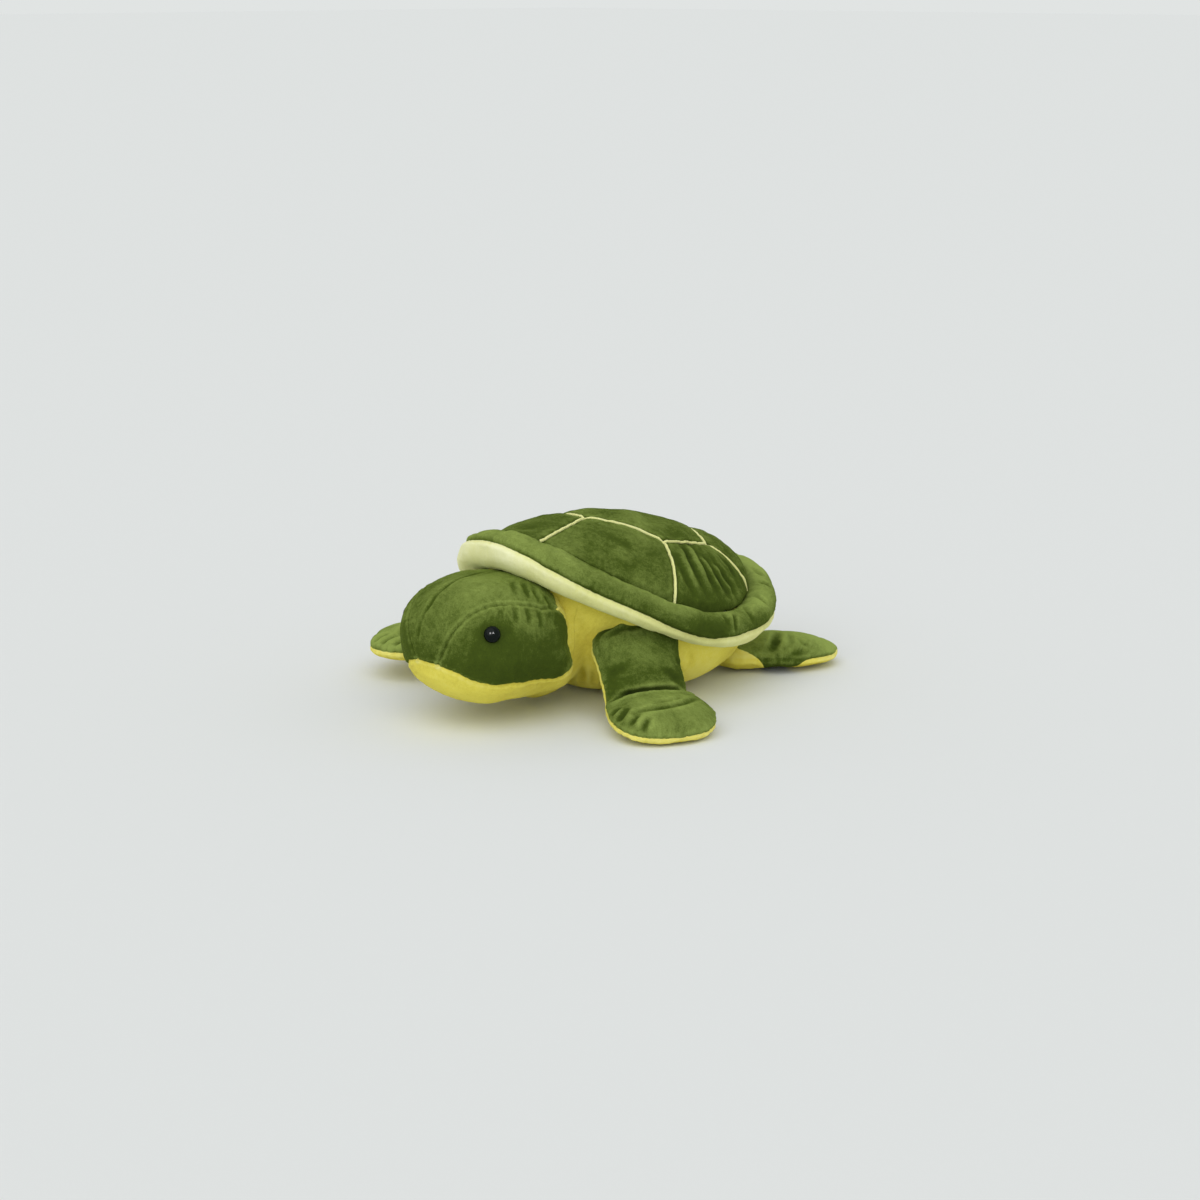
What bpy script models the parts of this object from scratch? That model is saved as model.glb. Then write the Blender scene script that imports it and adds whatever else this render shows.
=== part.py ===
"""A stuffed sea turtle sewn from short-pile plush.

X runs to the turtle's left, Y towards its tail and Z up. The origin is on the floor, at the middle
of the flat patch under the belly. Every fabric panel is a thin solid of its own, cut along its
seams, and lies on a core of fibre stuffing. The neck is a ball between two sockets. Each flipper
turns about a seam whose end is a round roll in a matching socket.
"""

import math

import bmesh
import bpy
import numpy as np
from mathutils import Matrix, Vector

# Cloth and seams, in metres
CLOTH = 0.0025
SEAM_GAP = 0.0004
ROLL_CLEARANCE = 0.0008
WELD_DISTANCE = 0.00001
SHARP_DEGREES = 40.0
PIPING_RADIUS = 0.0018
PIPING_CLEARANCE = 0.0009
CUT_OVERRUN = 0.012

# Shell and rim, measured along the middle of the rim roll
SHELL_HALF_WIDTH = 0.131
SHELL_HALF_LENGTH = 0.151
RIM_ROLL_RADIUS = 0.0175
RIM_HEIGHT_FRONT = 0.158
RIM_HEIGHT_SIDE = 0.0755
RIM_HEIGHT_REAR = 0.0925
DOME_HEIGHT = 0.1725

# Shell panels: the corners of the top panel, as turns from the front and shares of the dome's reach
HEX_CORNER_DEGREES = (10.0, 82.0, 134.0, 196.0, 256.0, 312.0)
HEX_REACH_SHARES = (0.40, 0.55, 0.67, 0.74, 0.60, 0.50)
COLUMNS_PER_SECTOR = (6, 4, 5, 5, 4, 4)
DOME_TOP_ROWS = 2
DOME_SIDE_ROWS = 4
DOME_FULLNESS = 0.57
DOME_FRONT_SLACK = 0.62

# Rim roll, as turns round its section: 0 faces outwards and 90 faces up
RIM_SECTION_STEP = 36.0
DOME_FOOT_TURN = 126.0
BODY_FOOT_TURN = 234.0

# Belly and body sides
BELLY_FLAT_SHARE = 0.28
BELLY_ROWS = 2
BODY_ROWS = 5
BODY_FULLNESS = 1.0
CORE_ROW_SHARES = (0.36, 0.72)

# Neck
NECK_RADIUS = 0.0595
NECK_CLEARANCE = 0.0010
NECK_ROOM_COLUMNS = 28
NECK_INSET = 0.030
NECK_Z = 0.066
NECK_COVER_START = 40.0
NECK_COVER_END = 140.0
NECK_COLUMNS = 20
NECK_COVER_ROWS = 4

# Head
HEAD_AHEAD = 0.063
HEAD_LIFT = 0.018
HEAD_HALF_WIDTH = 0.0745
HEAD_FRONT_REACH = 0.071
HEAD_BACK_REACH = 0.0575
HEAD_UP_REACH = 0.0535
HEAD_DOWN_REACH = 0.064
HEAD_ROUNDNESS = 2.3
HEAD_COLUMNS = 24
GUSSET_COLUMNS = 9
NAPE_COLUMNS = 5
HEAD_MOUTH_TURN = -12.0
HEAD_SIDE_ROWS = 4
HEAD_MIDDLE_ROWS = 4
# Turn round the head from the mouth over the top, and the seam's place as a share of the half width
GUSSET_SEAM_SHARES = (
    (0, 0.19), (15, 0.33), (35, 0.44), (55, 0.53), (70, 0.61), (82, 0.70), (97, 0.78), (115, 0.85), (135, 0.83),
)
CHIN_SEAM_SHARES = (
    (135, 0.83), (150, 0.80), (190, 0.77), (210, 0.75), (240, 0.74), (277, 0.85),
    (311, 0.84), (335, 0.68), (353, 0.46), (360, 0.19),
)

# Safety eyes
EYE_X_SHARE = 0.80
EYE_TURN = 24.0
EYE_RADIUS = 0.0078
EYE_HEIGHT = 0.0048
EYE_SEAT = 0.0006
EYE_ROWS = 5
EYE_STEM_RADIUS = 0.0022
EYE_STEM_LENGTH = 0.0130
WASHER_RADIUS = 0.0075
WASHER_THICKNESS = 0.0015
WASHER_DEPTH = 0.0052
TURNED_SEGMENTS = 14
NORMAL_STEP_DEGREES = 2.0

# Front flippers: an arm from the shoulder roll to the fold, then a paw that lies on the floor
SHOULDER_INSET = 0.046
SHOULDER_AHEAD = 0.0775
SHOULDER_Z = 0.067
ARM_LENGTH = 0.066
ARM_ROOT_RADIUS = 0.0145
ARM_FOLD_RADIUS = 0.0140
ARM_ROOT_HALF_WIDTH = 0.031
ARM_FOLD_HALF_WIDTH = 0.0425
PAW_LENGTH = 0.081
PAW_HALF_WIDTH = 0.051
PAW_HALF_THICKNESS = 0.0142
# The arm's room in the body: how far it reaches along the arm, and the turns that it leaves room for
ARM_ROOM_REACH = 0.045
ARM_ROOM_SWINGS = (-26.0, 0.0, 7.0)
ARM_ROOM_HALF_WIDTH = 0.0348
# Azimuth ahead of sideways and the slopes of arm and paw. The right flipper rests higher than the left.
FLIPPER_POSES = {"left": (23.0, 44.0, 9.0), "right": (30.0, 30.0, 2.0)}

# Rear flippers
HIP_X = 0.053
HIP_INSET = 0.047
HIP_Z = 0.0168
REAR_AZIMUTH = -57.0
REAR_SLOPE = 1.5
REAR_LENGTH = 0.118
REAR_ROOT_RADIUS = 0.0135
REAR_ROOT_HALF_WIDTH = 0.030
REAR_HALF_WIDTH = 0.039
REAR_HALF_THICKNESS = 0.0150

# Half of a flipper's section: sideways and upward shares, from one edge seam over the top
SECTION_SHARES = ((-1.0, 0.0), (-0.84, 0.60), (0.0, 1.0), (0.84, 0.60), (1.0, 0.0))
CAP_TURNS = (90.0, 60.0, 30.0)
ROLL_ROOM_SEGMENTS = 56
# Place along the limb, half width and half thickness, each as a share
ARM_SHARES = ((0.0, 0.0, 1.0), (0.34, 0.22, 1.0), (0.68, 0.66, 1.06), (1.0, 1.0, 1.0))
PAW_SHARES = (
    (0.03, 0.84, 0.95), (0.22, 0.96, 1.0), (0.45, 1.0, 0.97),
    (0.68, 0.93, 0.84), (0.86, 0.72, 0.60), (0.96, 0.44, 0.34),
)
REAR_SHARES = (
    (0.22, 0.88, 0.93), (0.42, 1.0, 1.0), (0.64, 0.97, 0.86), (0.84, 0.74, 0.62), (0.95, 0.46, 0.36),
)

# Colour, roughness and metallic value of each finish
FINISHES = {
    "green_plush": ((0.085, 0.130, 0.022, 1.0), 0.85, 0.0),
    "pale_plush": ((0.60, 0.64, 0.26, 1.0), 0.85, 0.0),
    "yellow_plush": ((0.55, 0.49, 0.08, 1.0), 0.85, 0.0),
    "fibre_fill": ((0.80, 0.80, 0.78, 1.0), 0.95, 0.0),
    "eye_black": ((0.008, 0.012, 0.010, 1.0), 0.08, 0.0),
    "washer_white": ((0.70, 0.70, 0.68, 1.0), 0.45, 0.0),
}
SIDES = (("left", 1.0), ("right", -1.0))


def clear_scene():
    """Remove every object that the scene starts with."""
    for item in list(bpy.data.objects):
        bpy.data.objects.remove(item, do_unlink=True)


def finish(name):
    """Return the material of one finish, made on first use."""
    material = bpy.data.materials.get(name)
    if material is None:
        colour, roughness, metallic = FINISHES[name]
        material = bpy.data.materials.new(name)
        material.use_nodes = True
        shader = material.node_tree.nodes["Principled BSDF"]
        shader.inputs["Base Color"].default_value = colour
        shader.inputs["Roughness"].default_value = roughness
        shader.inputs["Metallic"].default_value = metallic
    return material


def add_empty(name, location, rotation=(0.0, 0.0, 0.0), parent=None):
    """Add an empty in world place, so that the pieces under it turn about a joint."""
    item = bpy.data.objects.new(name, None)
    bpy.context.scene.collection.objects.link(item)
    world = Matrix.Translation(Vector(location)) @ rotation_matrix(rotation)
    if parent is not None:
        item.parent = parent
        world = world_of(parent).inverted() @ world
    item.matrix_basis = world
    return item


def rotation_matrix(turns):
    """Turn about Y by turns[1], then about Z by turns[2], and first about X by turns[0]."""
    about_x = Matrix.Rotation(turns[0], 4, "X")
    about_y = Matrix.Rotation(turns[1], 4, "Y")
    about_z = Matrix.Rotation(turns[2], 4, "Z")
    return about_z @ about_y @ about_x


def world_of(item):
    """World matrix of an empty, from its own and its parents' places."""
    matrix = item.matrix_basis.copy()
    while item.parent is not None:
        item = item.parent
        matrix = item.matrix_basis @ matrix
    return matrix


def add_object(name, builder, material, parent):
    """Close a bmesh, turn its faces outwards and place it under its parent."""
    bmesh.ops.remove_doubles(builder, verts=builder.verts, dist=WELD_DISTANCE)
    bmesh.ops.dissolve_degenerate(builder, edges=builder.edges, dist=WELD_DISTANCE)
    bmesh.ops.recalc_face_normals(builder, faces=builder.faces)
    if builder.calc_volume(signed=True) < 0:
        bmesh.ops.reverse_faces(builder, faces=builder.faces)
    mesh = bpy.data.meshes.new(name)
    builder.to_mesh(mesh)
    builder.free()
    mesh.materials.append(finish(material))
    mesh.shade_smooth()
    mesh.set_sharp_from_angle(angle=math.radians(SHARP_DEGREES))
    item = bpy.data.objects.new(name, mesh)
    bpy.context.scene.collection.objects.link(item)
    item.parent = parent
    return item


def as_cutter(item):
    """Keep a helper out of the model."""
    item.hide_render = True
    item.display_type = "WIRE"
    return item


def cut(item, *cutters):
    """Take each cutter's shape out of a piece."""
    for cutter in cutters:
        modifier = item.modifiers.new("cut_" + cutter.name, "BOOLEAN")
        modifier.operation = "DIFFERENCE"
        modifier.solver = "EXACT"
        modifier.object = cutter


def sheet_faces(builder, grid, wrap):
    """Add a grid of points and the faces between them. Return the points' vertices.

    Each four-sided field is split along its shorter diagonal, so that a lining and the core under it
    bend alike and stay apart.
    """
    vertices = [[builder.verts.new(point) for point in row] for row in grid]
    last = len(vertices[0]) - (0 if wrap else 1)
    for lower, upper in zip(vertices, vertices[1:]):
        for j in range(last):
            k = (j + 1) % len(lower)
            a, b, c, d = lower[j], lower[k], upper[k], upper[j]
            if (a.co - c.co).length < (b.co - d.co).length:
                fields = ((a, b, c), (a, c, d))
            else:
                fields = ((a, b, d), (b, c, d))
            for field in fields:
                builder.faces.new(field)
    return vertices


def join_edges(builder, first, second, wrap):
    """Add the wall between two rows of vertices."""
    for j in range(len(first) - (0 if wrap else 1)):
        k = (j + 1) % len(first)
        builder.faces.new((first[j], first[k], second[k], second[j]))


def is_pole(row):
    """True where a row of points meets in one point."""
    return np.ptp(np.asarray(row), axis=0).max() < WELD_DISTANCE


def make_panel(name, outer, inner, material, parent, wrap=False):
    """Make a fabric panel between its outer and inner grids, with walls along its seams."""
    builder = bmesh.new()
    skin = sheet_faces(builder, outer, wrap)
    lining = sheet_faces(builder, inner, wrap)
    for end in (0, -1):
        if not is_pole(outer[end]):
            join_edges(builder, skin[end], lining[end], wrap)
    if not wrap:
        for end in (0, -1):
            join_edges(builder, [row[end] for row in skin], [row[end] for row in lining], False)
    return add_object(name, builder, material, parent)


def make_core(name, grid, material, parent, closed_rows=False):
    """Make a closed solid from a grid whose columns go all the way round."""
    builder = bmesh.new()
    rows = sheet_faces(builder, grid, True)
    if closed_rows:
        join_edges(builder, rows[-1], rows[0], True)
    else:
        for row, points in ((rows[0], grid[0]), (rows[-1], grid[-1])):
            if not is_pole(points) and not is_folded(points):
                builder.faces.new(row)
    return add_object(name, builder, material, parent)


def is_folded(row):
    """True where a ring's lower half lies on its upper half, as at the end of a round roll."""
    points = np.asarray(row)
    half = len(points) // 2
    upper = points[1:half]
    lower = points[: half : -1]
    return np.abs(upper - lower).max() < WELD_DISTANCE


def step_in(grid, distances):
    """Move the edges of a grid inwards, to leave room for the seams.

    distances are for the first row, last row, first column and last column, and None keeps an edge.
    """
    grid = np.array(grid, float)
    moved = grid.copy()
    sides = ((0, 1, 0), (-1, -2, 0), (0, 1, 1), (-1, -2, 1))
    for (edge, inside, axis), distance in zip(sides, distances):
        if distance is None:
            continue
        near = np.take(grid, edge, axis)
        step = np.take(grid, inside, axis) - near
        length = np.maximum(np.linalg.norm(step, axis=-1, keepdims=True), SEAM_GAP)
        if axis == 0:
            moved[edge] += step / length * distance
        else:
            moved[:, edge] += step / length * distance
    return moved


# Plan and heights of the torso

def shell_turns():
    """Turns from the front of the torso's columns, with one on each corner of the top panel."""
    corners = HEX_CORNER_DEGREES
    turns = []
    for i, count in enumerate(COLUMNS_PER_SECTOR):
        start = corners[i]
        end = corners[(i + 1) % len(corners)] + (360.0 if i + 1 == len(corners) else 0.0)
        turns += [start + (end - start) * k / count for k in range(count)]
    return np.radians(turns)


def plan_reach(turn):
    """Distance in plan from the middle to the rim's centre line, and the direction."""
    point = np.array((SHELL_HALF_WIDTH * math.sin(turn), -SHELL_HALF_LENGTH * math.cos(turn)))
    reach = float(np.hypot(*point))
    return reach, point / reach


def rim_height(turn, share=1.0):
    """Height of the rim's centre line, or of the sheet that it spans, at a share of the reach."""
    mean = (RIM_HEIGHT_FRONT + RIM_HEIGHT_REAR) / 2
    middle = (mean + RIM_HEIGHT_SIDE) / 2
    saddle = (mean - RIM_HEIGHT_SIDE) / 2
    pitch = (RIM_HEIGHT_FRONT - RIM_HEIGHT_REAR) / 2
    return middle + pitch * share * math.cos(turn) + saddle * share**2 * math.cos(2 * turn)


def beside_rim(turn, section_turn, clearance):
    """A point of the section plane that lies a clearance away from the rim roll."""
    reach, _ = plan_reach(turn)
    angle = math.radians(section_turn)
    radius = RIM_ROLL_RADIUS + clearance
    return np.array((reach + radius * math.cos(angle), rim_height(turn) + radius * math.sin(angle)))


def to_space(turn, section_point):
    """Turn a distance from the middle and a height into a point in space."""
    _, direction = plan_reach(turn)
    return (direction[0] * section_point[0], direction[1] * section_point[0], section_point[1])


def hexagon_share(turn):
    """Share of the dome's reach at which the top panel's edge crosses a column."""
    corners = [math.radians(c) for c in HEX_CORNER_DEGREES]
    turn = turn % (2 * math.pi)
    for i, start in enumerate(corners):
        follower = (i + 1) % len(corners)
        span = (corners[follower] - start) % (2 * math.pi)
        inside = (turn - start) % (2 * math.pi)
        if inside <= span:
            near, far = HEX_REACH_SHARES[i], HEX_REACH_SHARES[follower]
            across = near * math.sin(inside) + far * math.sin(span - inside)
            return near * far * math.sin(span) / across
    return HEX_REACH_SHARES[0]


def dome_profile(turn):
    """Outer line of the dome in one section plane, from its middle to its foot on the rim."""
    foot = beside_rim(turn, DOME_FOOT_TURN, SEAM_GAP)
    lift = foot[1] - rim_height(turn)
    crown = DOME_HEIGHT - lift - rim_height(turn, 0.0)
    power = DOME_FULLNESS + DOME_FRONT_SLACK * max(0.0, math.cos(turn)) ** 2
    corner = hexagon_share(turn)
    shares = [corner * k / DOME_TOP_ROWS for k in range(DOME_TOP_ROWS)]
    for k in range(DOME_SIDE_ROWS):
        shares.append(corner + (1 - corner) * math.sin(math.pi / 2 * k / DOME_SIDE_ROWS))
    shares.append(1.0)
    points = []
    for share in shares:
        swell = crown * max(0.0, 1 - share**2) ** power
        points.append((foot[0] * share, rim_height(turn, share) + lift + swell))
    return np.array(points)


def body_profile(turn):
    """Outer line of the body in one section plane, from its foot on the rim to the belly's middle."""
    foot = beside_rim(turn, BODY_FOOT_TURN, SEAM_GAP)
    flat = BELLY_FLAT_SHARE * SHELL_HALF_WIDTH
    points = []
    for k in range(BODY_ROWS + 1):
        angle = math.pi / 2 * k / BODY_ROWS
        out = max(0.0, math.cos(angle)) ** BODY_FULLNESS
        down = math.sin(angle) ** BODY_FULLNESS
        points.append((flat + (foot[0] - flat) * out, foot[1] * (1 - down)))
    points.append((0.0, 0.0))
    return np.array(points)


def profile_inside(profile, distance, pole, pole_up):
    """Move a section line inwards by a distance. The end at the pole stays on the middle line."""
    tangents = np.gradient(profile, axis=0)
    normals = np.stack((-tangents[:, 1], tangents[:, 0]), axis=1)
    normals /= np.linalg.norm(normals, axis=1, keepdims=True)
    normals[pole] = (0.0, pole_up)
    return profile - normals * distance


def dome_grid(turns, inset):
    """Grid of the dome's outer face, or of a face that lies an inset inside it."""
    columns = []
    for turn in turns:
        profile = dome_profile(turn)
        if inset > 0:
            inside = profile_inside(profile, inset, 0, 1.0)
            slide = math.degrees(inset / RIM_ROLL_RADIUS)
            inside[-1] = beside_rim(turn, DOME_FOOT_TURN + slide, SEAM_GAP)
            profile = inside
        columns.append([to_space(turn, point) for point in profile])
    return np.array(columns).transpose(1, 0, 2)


def body_grid(turns, inset):
    """Grid of the body's outer face, or of a face that lies an inset inside it."""
    columns = []
    for turn in turns:
        profile = body_profile(turn)
        if inset > 0:
            inside = profile_inside(profile, inset, -1, -1.0)
            inside[-2, 1] = inset
            slide = math.degrees(inset / RIM_ROLL_RADIUS)
            inside[0] = beside_rim(turn, BODY_FOOT_TURN - slide, SEAM_GAP)
            profile = inside
        columns.append([to_space(turn, point) for point in profile])
    return np.array(columns).transpose(1, 0, 2)


def rim_grid(turns, first, last, inset):
    """Grid of the rim roll between two turns of its section."""
    count = round((last - first) / RIM_SECTION_STEP)
    rows = []
    for k in range(count + 1):
        angle = first + (last - first) * k / count
        rows.append([to_space(turn, beside_rim(turn, angle, -inset)) for turn in turns])
    return np.array(rows)


def core_floor(turns, drop):
    """Rows of the sheet where the shell's and the body's stuffing meet, from the middle outwards."""
    rows = [[(0.0, 0.0, rim_height(turn, 0.0) - drop) for turn in turns]]
    for share in CORE_ROW_SHARES:
        row = []
        for turn in turns:
            reach, _ = plan_reach(turn)
            row.append(to_space(turn, (reach * share, rim_height(turn, share) - drop)))
        rows.append(row)
    row = []
    for turn in turns:
        point = beside_rim(turn, 180.0, SEAM_GAP)
        row.append(to_space(turn, (point[0], point[1] - drop)))
    rows.append(row)
    return rows


# Torso pieces

def sector_names():
    """Names of the six side panels in the order of their columns."""
    return ("left_front", "left_rear", "rear", "right_rear", "right_front", "front")


def make_shell(root):
    """Make the domed shell: a top panel, six side panels, their piping and the stuffing."""
    turns = shell_turns()
    room = PIPING_RADIUS + PIPING_CLEARANCE
    skin = dome_grid(turns, 0.0)
    lining = dome_grid(turns, CLOTH)
    top = DOME_TOP_ROWS + 1
    edges = (None, room, None, None)
    make_panel("shell_top_panel", step_in(skin[:top], edges), step_in(lining[:top], edges),
               "green_plush", root, True)
    starts = np.cumsum((0,) + COLUMNS_PER_SECTOR)
    for name, start, end in zip(sector_names(), starts, starts[1:]):
        columns = [k % len(turns) for k in range(start, end + 1)]
        edges = (room, None, room, room)
        outer = step_in(skin[DOME_TOP_ROWS:][:, columns], edges)
        inner = step_in(lining[DOME_TOP_ROWS:][:, columns], edges)
        make_panel("shell_side_" + name, outer, inner, "green_plush", root)
        make_radial_piping("piping_before_" + name, skin[DOME_TOP_ROWS:, columns[0]], root)
    make_tube("piping_hexagon", skin[DOME_TOP_ROWS], True, root)

    core = list(core_floor(turns, 0.0))
    core.append([to_space(turn, beside_rim(turn, 180.0 - RIM_SECTION_STEP, SEAM_GAP)) for turn in turns])
    core += list(dome_grid(turns, CLOTH + SEAM_GAP)[::-1])
    make_core("shell_stuffing", core, "fibre_fill", root)


def make_radial_piping(name, points, root):
    """Run one piping cord from the top panel's corner down to the rim."""
    down = points[1] - points[0]
    up = points[-2] - points[-1]
    first = points[0] + down / np.linalg.norm(down) * (2 * PIPING_RADIUS + PIPING_CLEARANCE)
    last = points[-1] + up / np.linalg.norm(up) * (PIPING_RADIUS + PIPING_CLEARANCE)
    make_tube(name, [first, *points[1:-1], last], False, root)


def make_tube(name, points, cyclic, parent):
    """Make a piping cord along points."""
    curve = bpy.data.curves.new(name, "CURVE")
    curve.dimensions = "3D"
    curve.bevel_depth = PIPING_RADIUS
    curve.bevel_resolution = 1
    curve.use_fill_caps = not cyclic
    line = curve.splines.new("POLY")
    line.points.add(len(points) - 1)
    for place, point in zip(line.points, points):
        place.co = (*point, 1.0)
    line.use_cyclic_u = cyclic
    curve.materials.append(finish("pale_plush"))
    item = bpy.data.objects.new(name, curve)
    bpy.context.scene.collection.objects.link(item)
    item.parent = parent
    return item


def make_rim(root):
    """Make the padded roll round the shell: a strip above, a strip below and the stuffing."""
    turns = shell_turns()
    edges = (SEAM_GAP / 2, SEAM_GAP / 2, None, None)
    strips = (("rim_top_strip", 0.0, "green_plush"), ("rim_underside_strip", 180.0, "pale_plush"))
    for name, first, material in strips:
        outer = step_in(rim_grid(turns, first, first + 180.0, 0.0), edges)
        inner = step_in(rim_grid(turns, first, first + 180.0, CLOTH), edges)
        make_panel(name, outer, inner, material, root, True)
    core = rim_grid(turns, 0.0, 360.0 - RIM_SECTION_STEP, CLOTH + SEAM_GAP)
    make_core("rim_stuffing", core, "fibre_fill", root, True)


def make_body(root, cutters):
    """Make the belly panel, the two body sides and the body's stuffing."""
    turns = shell_turns()
    skin = body_grid(turns, 0.0)
    lining = body_grid(turns, CLOTH)
    seam = BODY_ROWS - BELLY_ROWS
    half = SEAM_GAP / 2
    belly = make_panel("belly_panel", step_in(skin[seam:], (half, None, None, None)),
                       step_in(lining[seam:], (half, None, None, None)), "yellow_plush", root, True)
    cut(belly, *cutters)
    front = COLUMNS_PER_SECTOR[5] // 2
    start = len(turns) - front
    middle = sum(COLUMNS_PER_SECTOR[:2]) + COLUMNS_PER_SECTOR[2] // 2
    spans = (("left", start, len(turns) + middle), ("right", middle, start))
    for name, begin, end in spans:
        columns = [k % len(turns) for k in range(begin, end + 1)]
        edges = (None, half, half, half)
        outer = step_in(skin[: seam + 1][:, columns], edges)
        inner = step_in(lining[: seam + 1][:, columns], edges)
        cut(make_panel("body_side_" + name, outer, inner, "yellow_plush", root), *cutters)
    core = list(core_floor(turns, SEAM_GAP))
    core.append([to_space(turn, beside_rim(turn, 180.0 + RIM_SECTION_STEP, SEAM_GAP)) for turn in turns])
    core += list(body_grid(turns, CLOTH + SEAM_GAP))
    cut(make_core("body_stuffing", core, "fibre_fill", root), *cutters)


# Neck

def ball_grid(radius, turns, columns):
    """Rings of a ball about the origin, at turns from the direction of the snout."""
    grid = []
    for turn in np.radians(turns):
        ring = radius * math.sin(turn)
        grid.append([(ring * math.sin(a), -radius * math.cos(turn), ring * math.cos(a))
                     for a in (2 * math.pi * j / columns for j in range(columns))])
    return np.array(grid)


def make_ball_cutter(name, parent):
    """The room that the neck ball needs in the torso and in the head."""
    turns = np.linspace(0.0, 180.0, NECK_ROOM_COLUMNS // 2 + 1)
    room = ball_grid(NECK_RADIUS + NECK_CLEARANCE, turns, NECK_ROOM_COLUMNS)
    return as_cutter(make_core(name, room, "yellow_plush", parent))


def make_neck(neck):
    """Make the band of plush round the neck ball, and its stuffing."""
    band = np.linspace(NECK_COVER_START, NECK_COVER_END, NECK_COVER_ROWS + 1)
    make_panel("neck_cover", ball_grid(NECK_RADIUS, band, NECK_COLUMNS),
               ball_grid(NECK_RADIUS - CLOTH, band, NECK_COLUMNS), "yellow_plush", neck, True)
    turns = (0.0, NECK_COVER_START / 2, *band, (NECK_COVER_END + 180.0) / 2, 180.0)
    core = ball_grid(NECK_RADIUS - CLOTH - SEAM_GAP, turns, NECK_COLUMNS)
    make_core("neck_stuffing", core, "fibre_fill", neck)


# Head

def head_seam(turn_degrees):
    """The seam's place as a share of the half width, at a turn from the mouth over the top."""
    table = GUSSET_SEAM_SHARES if turn_degrees <= GUSSET_SEAM_SHARES[-1][0] else CHIN_SEAM_SHARES
    return float(np.interp(turn_degrees, [row[0] for row in table], [row[1] for row in table]))


def head_point(inset, across, turn_degrees):
    """A point of the head about its middle: across is its sideways angle, the turn starts at the mouth."""
    turn = math.radians(turn_degrees + HEAD_MOUTH_TURN)
    share = math.sin(across)
    ring = max(0.0, 1 - abs(share) ** HEAD_ROUNDNESS) ** (1 / HEAD_ROUNDNESS)
    forward, up = math.cos(turn), math.sin(turn)
    along = (HEAD_FRONT_REACH if forward > 0 else HEAD_BACK_REACH) - inset
    height = (HEAD_UP_REACH if up > 0 else HEAD_DOWN_REACH) - inset
    power = 2 / HEAD_ROUNDNESS
    return (
        (HEAD_HALF_WIDTH - inset) * share,
        -along * ring * math.copysign(abs(forward) ** power, forward),
        height * ring * math.copysign(abs(up) ** power, up),
    )


def head_grid(inset):
    """Grid of the head from its right side over the seams to its left side."""
    turns = [360.0 * k / HEAD_COLUMNS for k in range(HEAD_COLUMNS)]
    rows = []
    total = 2 * HEAD_SIDE_ROWS + HEAD_MIDDLE_ROWS
    for i in range(total + 1):
        row = []
        for turn in turns:
            seam = math.asin(head_seam(turn))
            if i <= HEAD_SIDE_ROWS:
                across = -math.pi / 2 + (math.pi / 2 - seam) * i / HEAD_SIDE_ROWS
            elif i <= HEAD_SIDE_ROWS + HEAD_MIDDLE_ROWS:
                across = -seam + 2 * seam * (i - HEAD_SIDE_ROWS) / HEAD_MIDDLE_ROWS
            else:
                across = math.pi / 2 - (math.pi / 2 - seam) * (total - i) / HEAD_SIDE_ROWS
            row.append(head_point(inset, across, turn))
        rows.append(row)
    return np.array(rows)


def eye_frame(side):
    """Place and turn of one eye in the head's own frame."""
    across = math.asin(EYE_X_SHARE)
    turn = EYE_TURN - HEAD_MOUTH_TURN
    place = Vector(head_point(0.0, across, turn))
    along = Vector(head_point(0.0, across + math.radians(NORMAL_STEP_DEGREES), turn)) - place
    over = Vector(head_point(0.0, across, turn + NORMAL_STEP_DEGREES)) - place
    normal = along.cross(over).normalized()
    if normal.dot(place) < 0:
        normal.negate()
    place.x *= side
    normal.x *= side
    return Matrix.Translation(place) @ normal.to_track_quat("Z", "Y").to_matrix().to_4x4()


def make_turned(name, profile, material, parent, frame):
    """Turn a closed section, given as radius and height, about the Z axis of a frame."""
    builder = bmesh.new()
    vertices = [builder.verts.new((radius, 0.0, height)) for radius, height in profile]
    edges = [builder.edges.new((a, b)) for a, b in zip(vertices, vertices[1:])]
    if profile[0][0] > 0:
        edges.append(builder.edges.new((vertices[-1], vertices[0])))
    bmesh.ops.spin(builder, geom=vertices + edges, cent=(0, 0, 0), axis=(0, 0, 1),
                   angle=2 * math.pi, steps=TURNED_SEGMENTS, use_merge=True)
    item = add_object(name, builder, material, parent)
    item.matrix_basis = frame
    return item


def make_eye(name, side, head):
    """Make a safety eye with its stem and its washer. Return the cutters of its holes."""
    frame = eye_frame(side)
    dome = [(EYE_RADIUS * math.cos(a), EYE_SEAT + EYE_HEIGHT * math.sin(a))
            for a in (math.pi / 2 * k / EYE_ROWS for k in range(EYE_ROWS))]
    dome.append((0.0, EYE_SEAT + EYE_HEIGHT))
    foot = EYE_SEAT - EYE_STEM_LENGTH
    stem = [(0.0, foot), (EYE_STEM_RADIUS, foot), (EYE_STEM_RADIUS, EYE_SEAT)]
    make_turned("eye_" + name, stem + dome, "eye_black", head, frame)
    inner = EYE_STEM_RADIUS + SEAM_GAP
    under = -WASHER_DEPTH - WASHER_THICKNESS
    ring = [(inner, under), (WASHER_RADIUS, under), (WASHER_RADIUS, -WASHER_DEPTH), (inner, -WASHER_DEPTH)]
    make_turned("eye_washer_" + name, ring, "washer_white", head, frame)
    hole = [(0.0, -CUT_OVERRUN), (inner, -CUT_OVERRUN), (inner, CUT_OVERRUN), (0.0, CUT_OVERRUN)]
    floor = -EYE_STEM_LENGTH - SEAM_GAP
    wide = WASHER_RADIUS + SEAM_GAP
    pocket = [(0.0, floor), (wide, floor), (wide, CUT_OVERRUN), (0.0, CUT_OVERRUN)]
    return (as_cutter(make_turned("stem_hole_" + name, hole, "eye_black", head, frame)),
            as_cutter(make_turned("washer_pocket_" + name, pocket, "eye_black", head, frame)))


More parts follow.
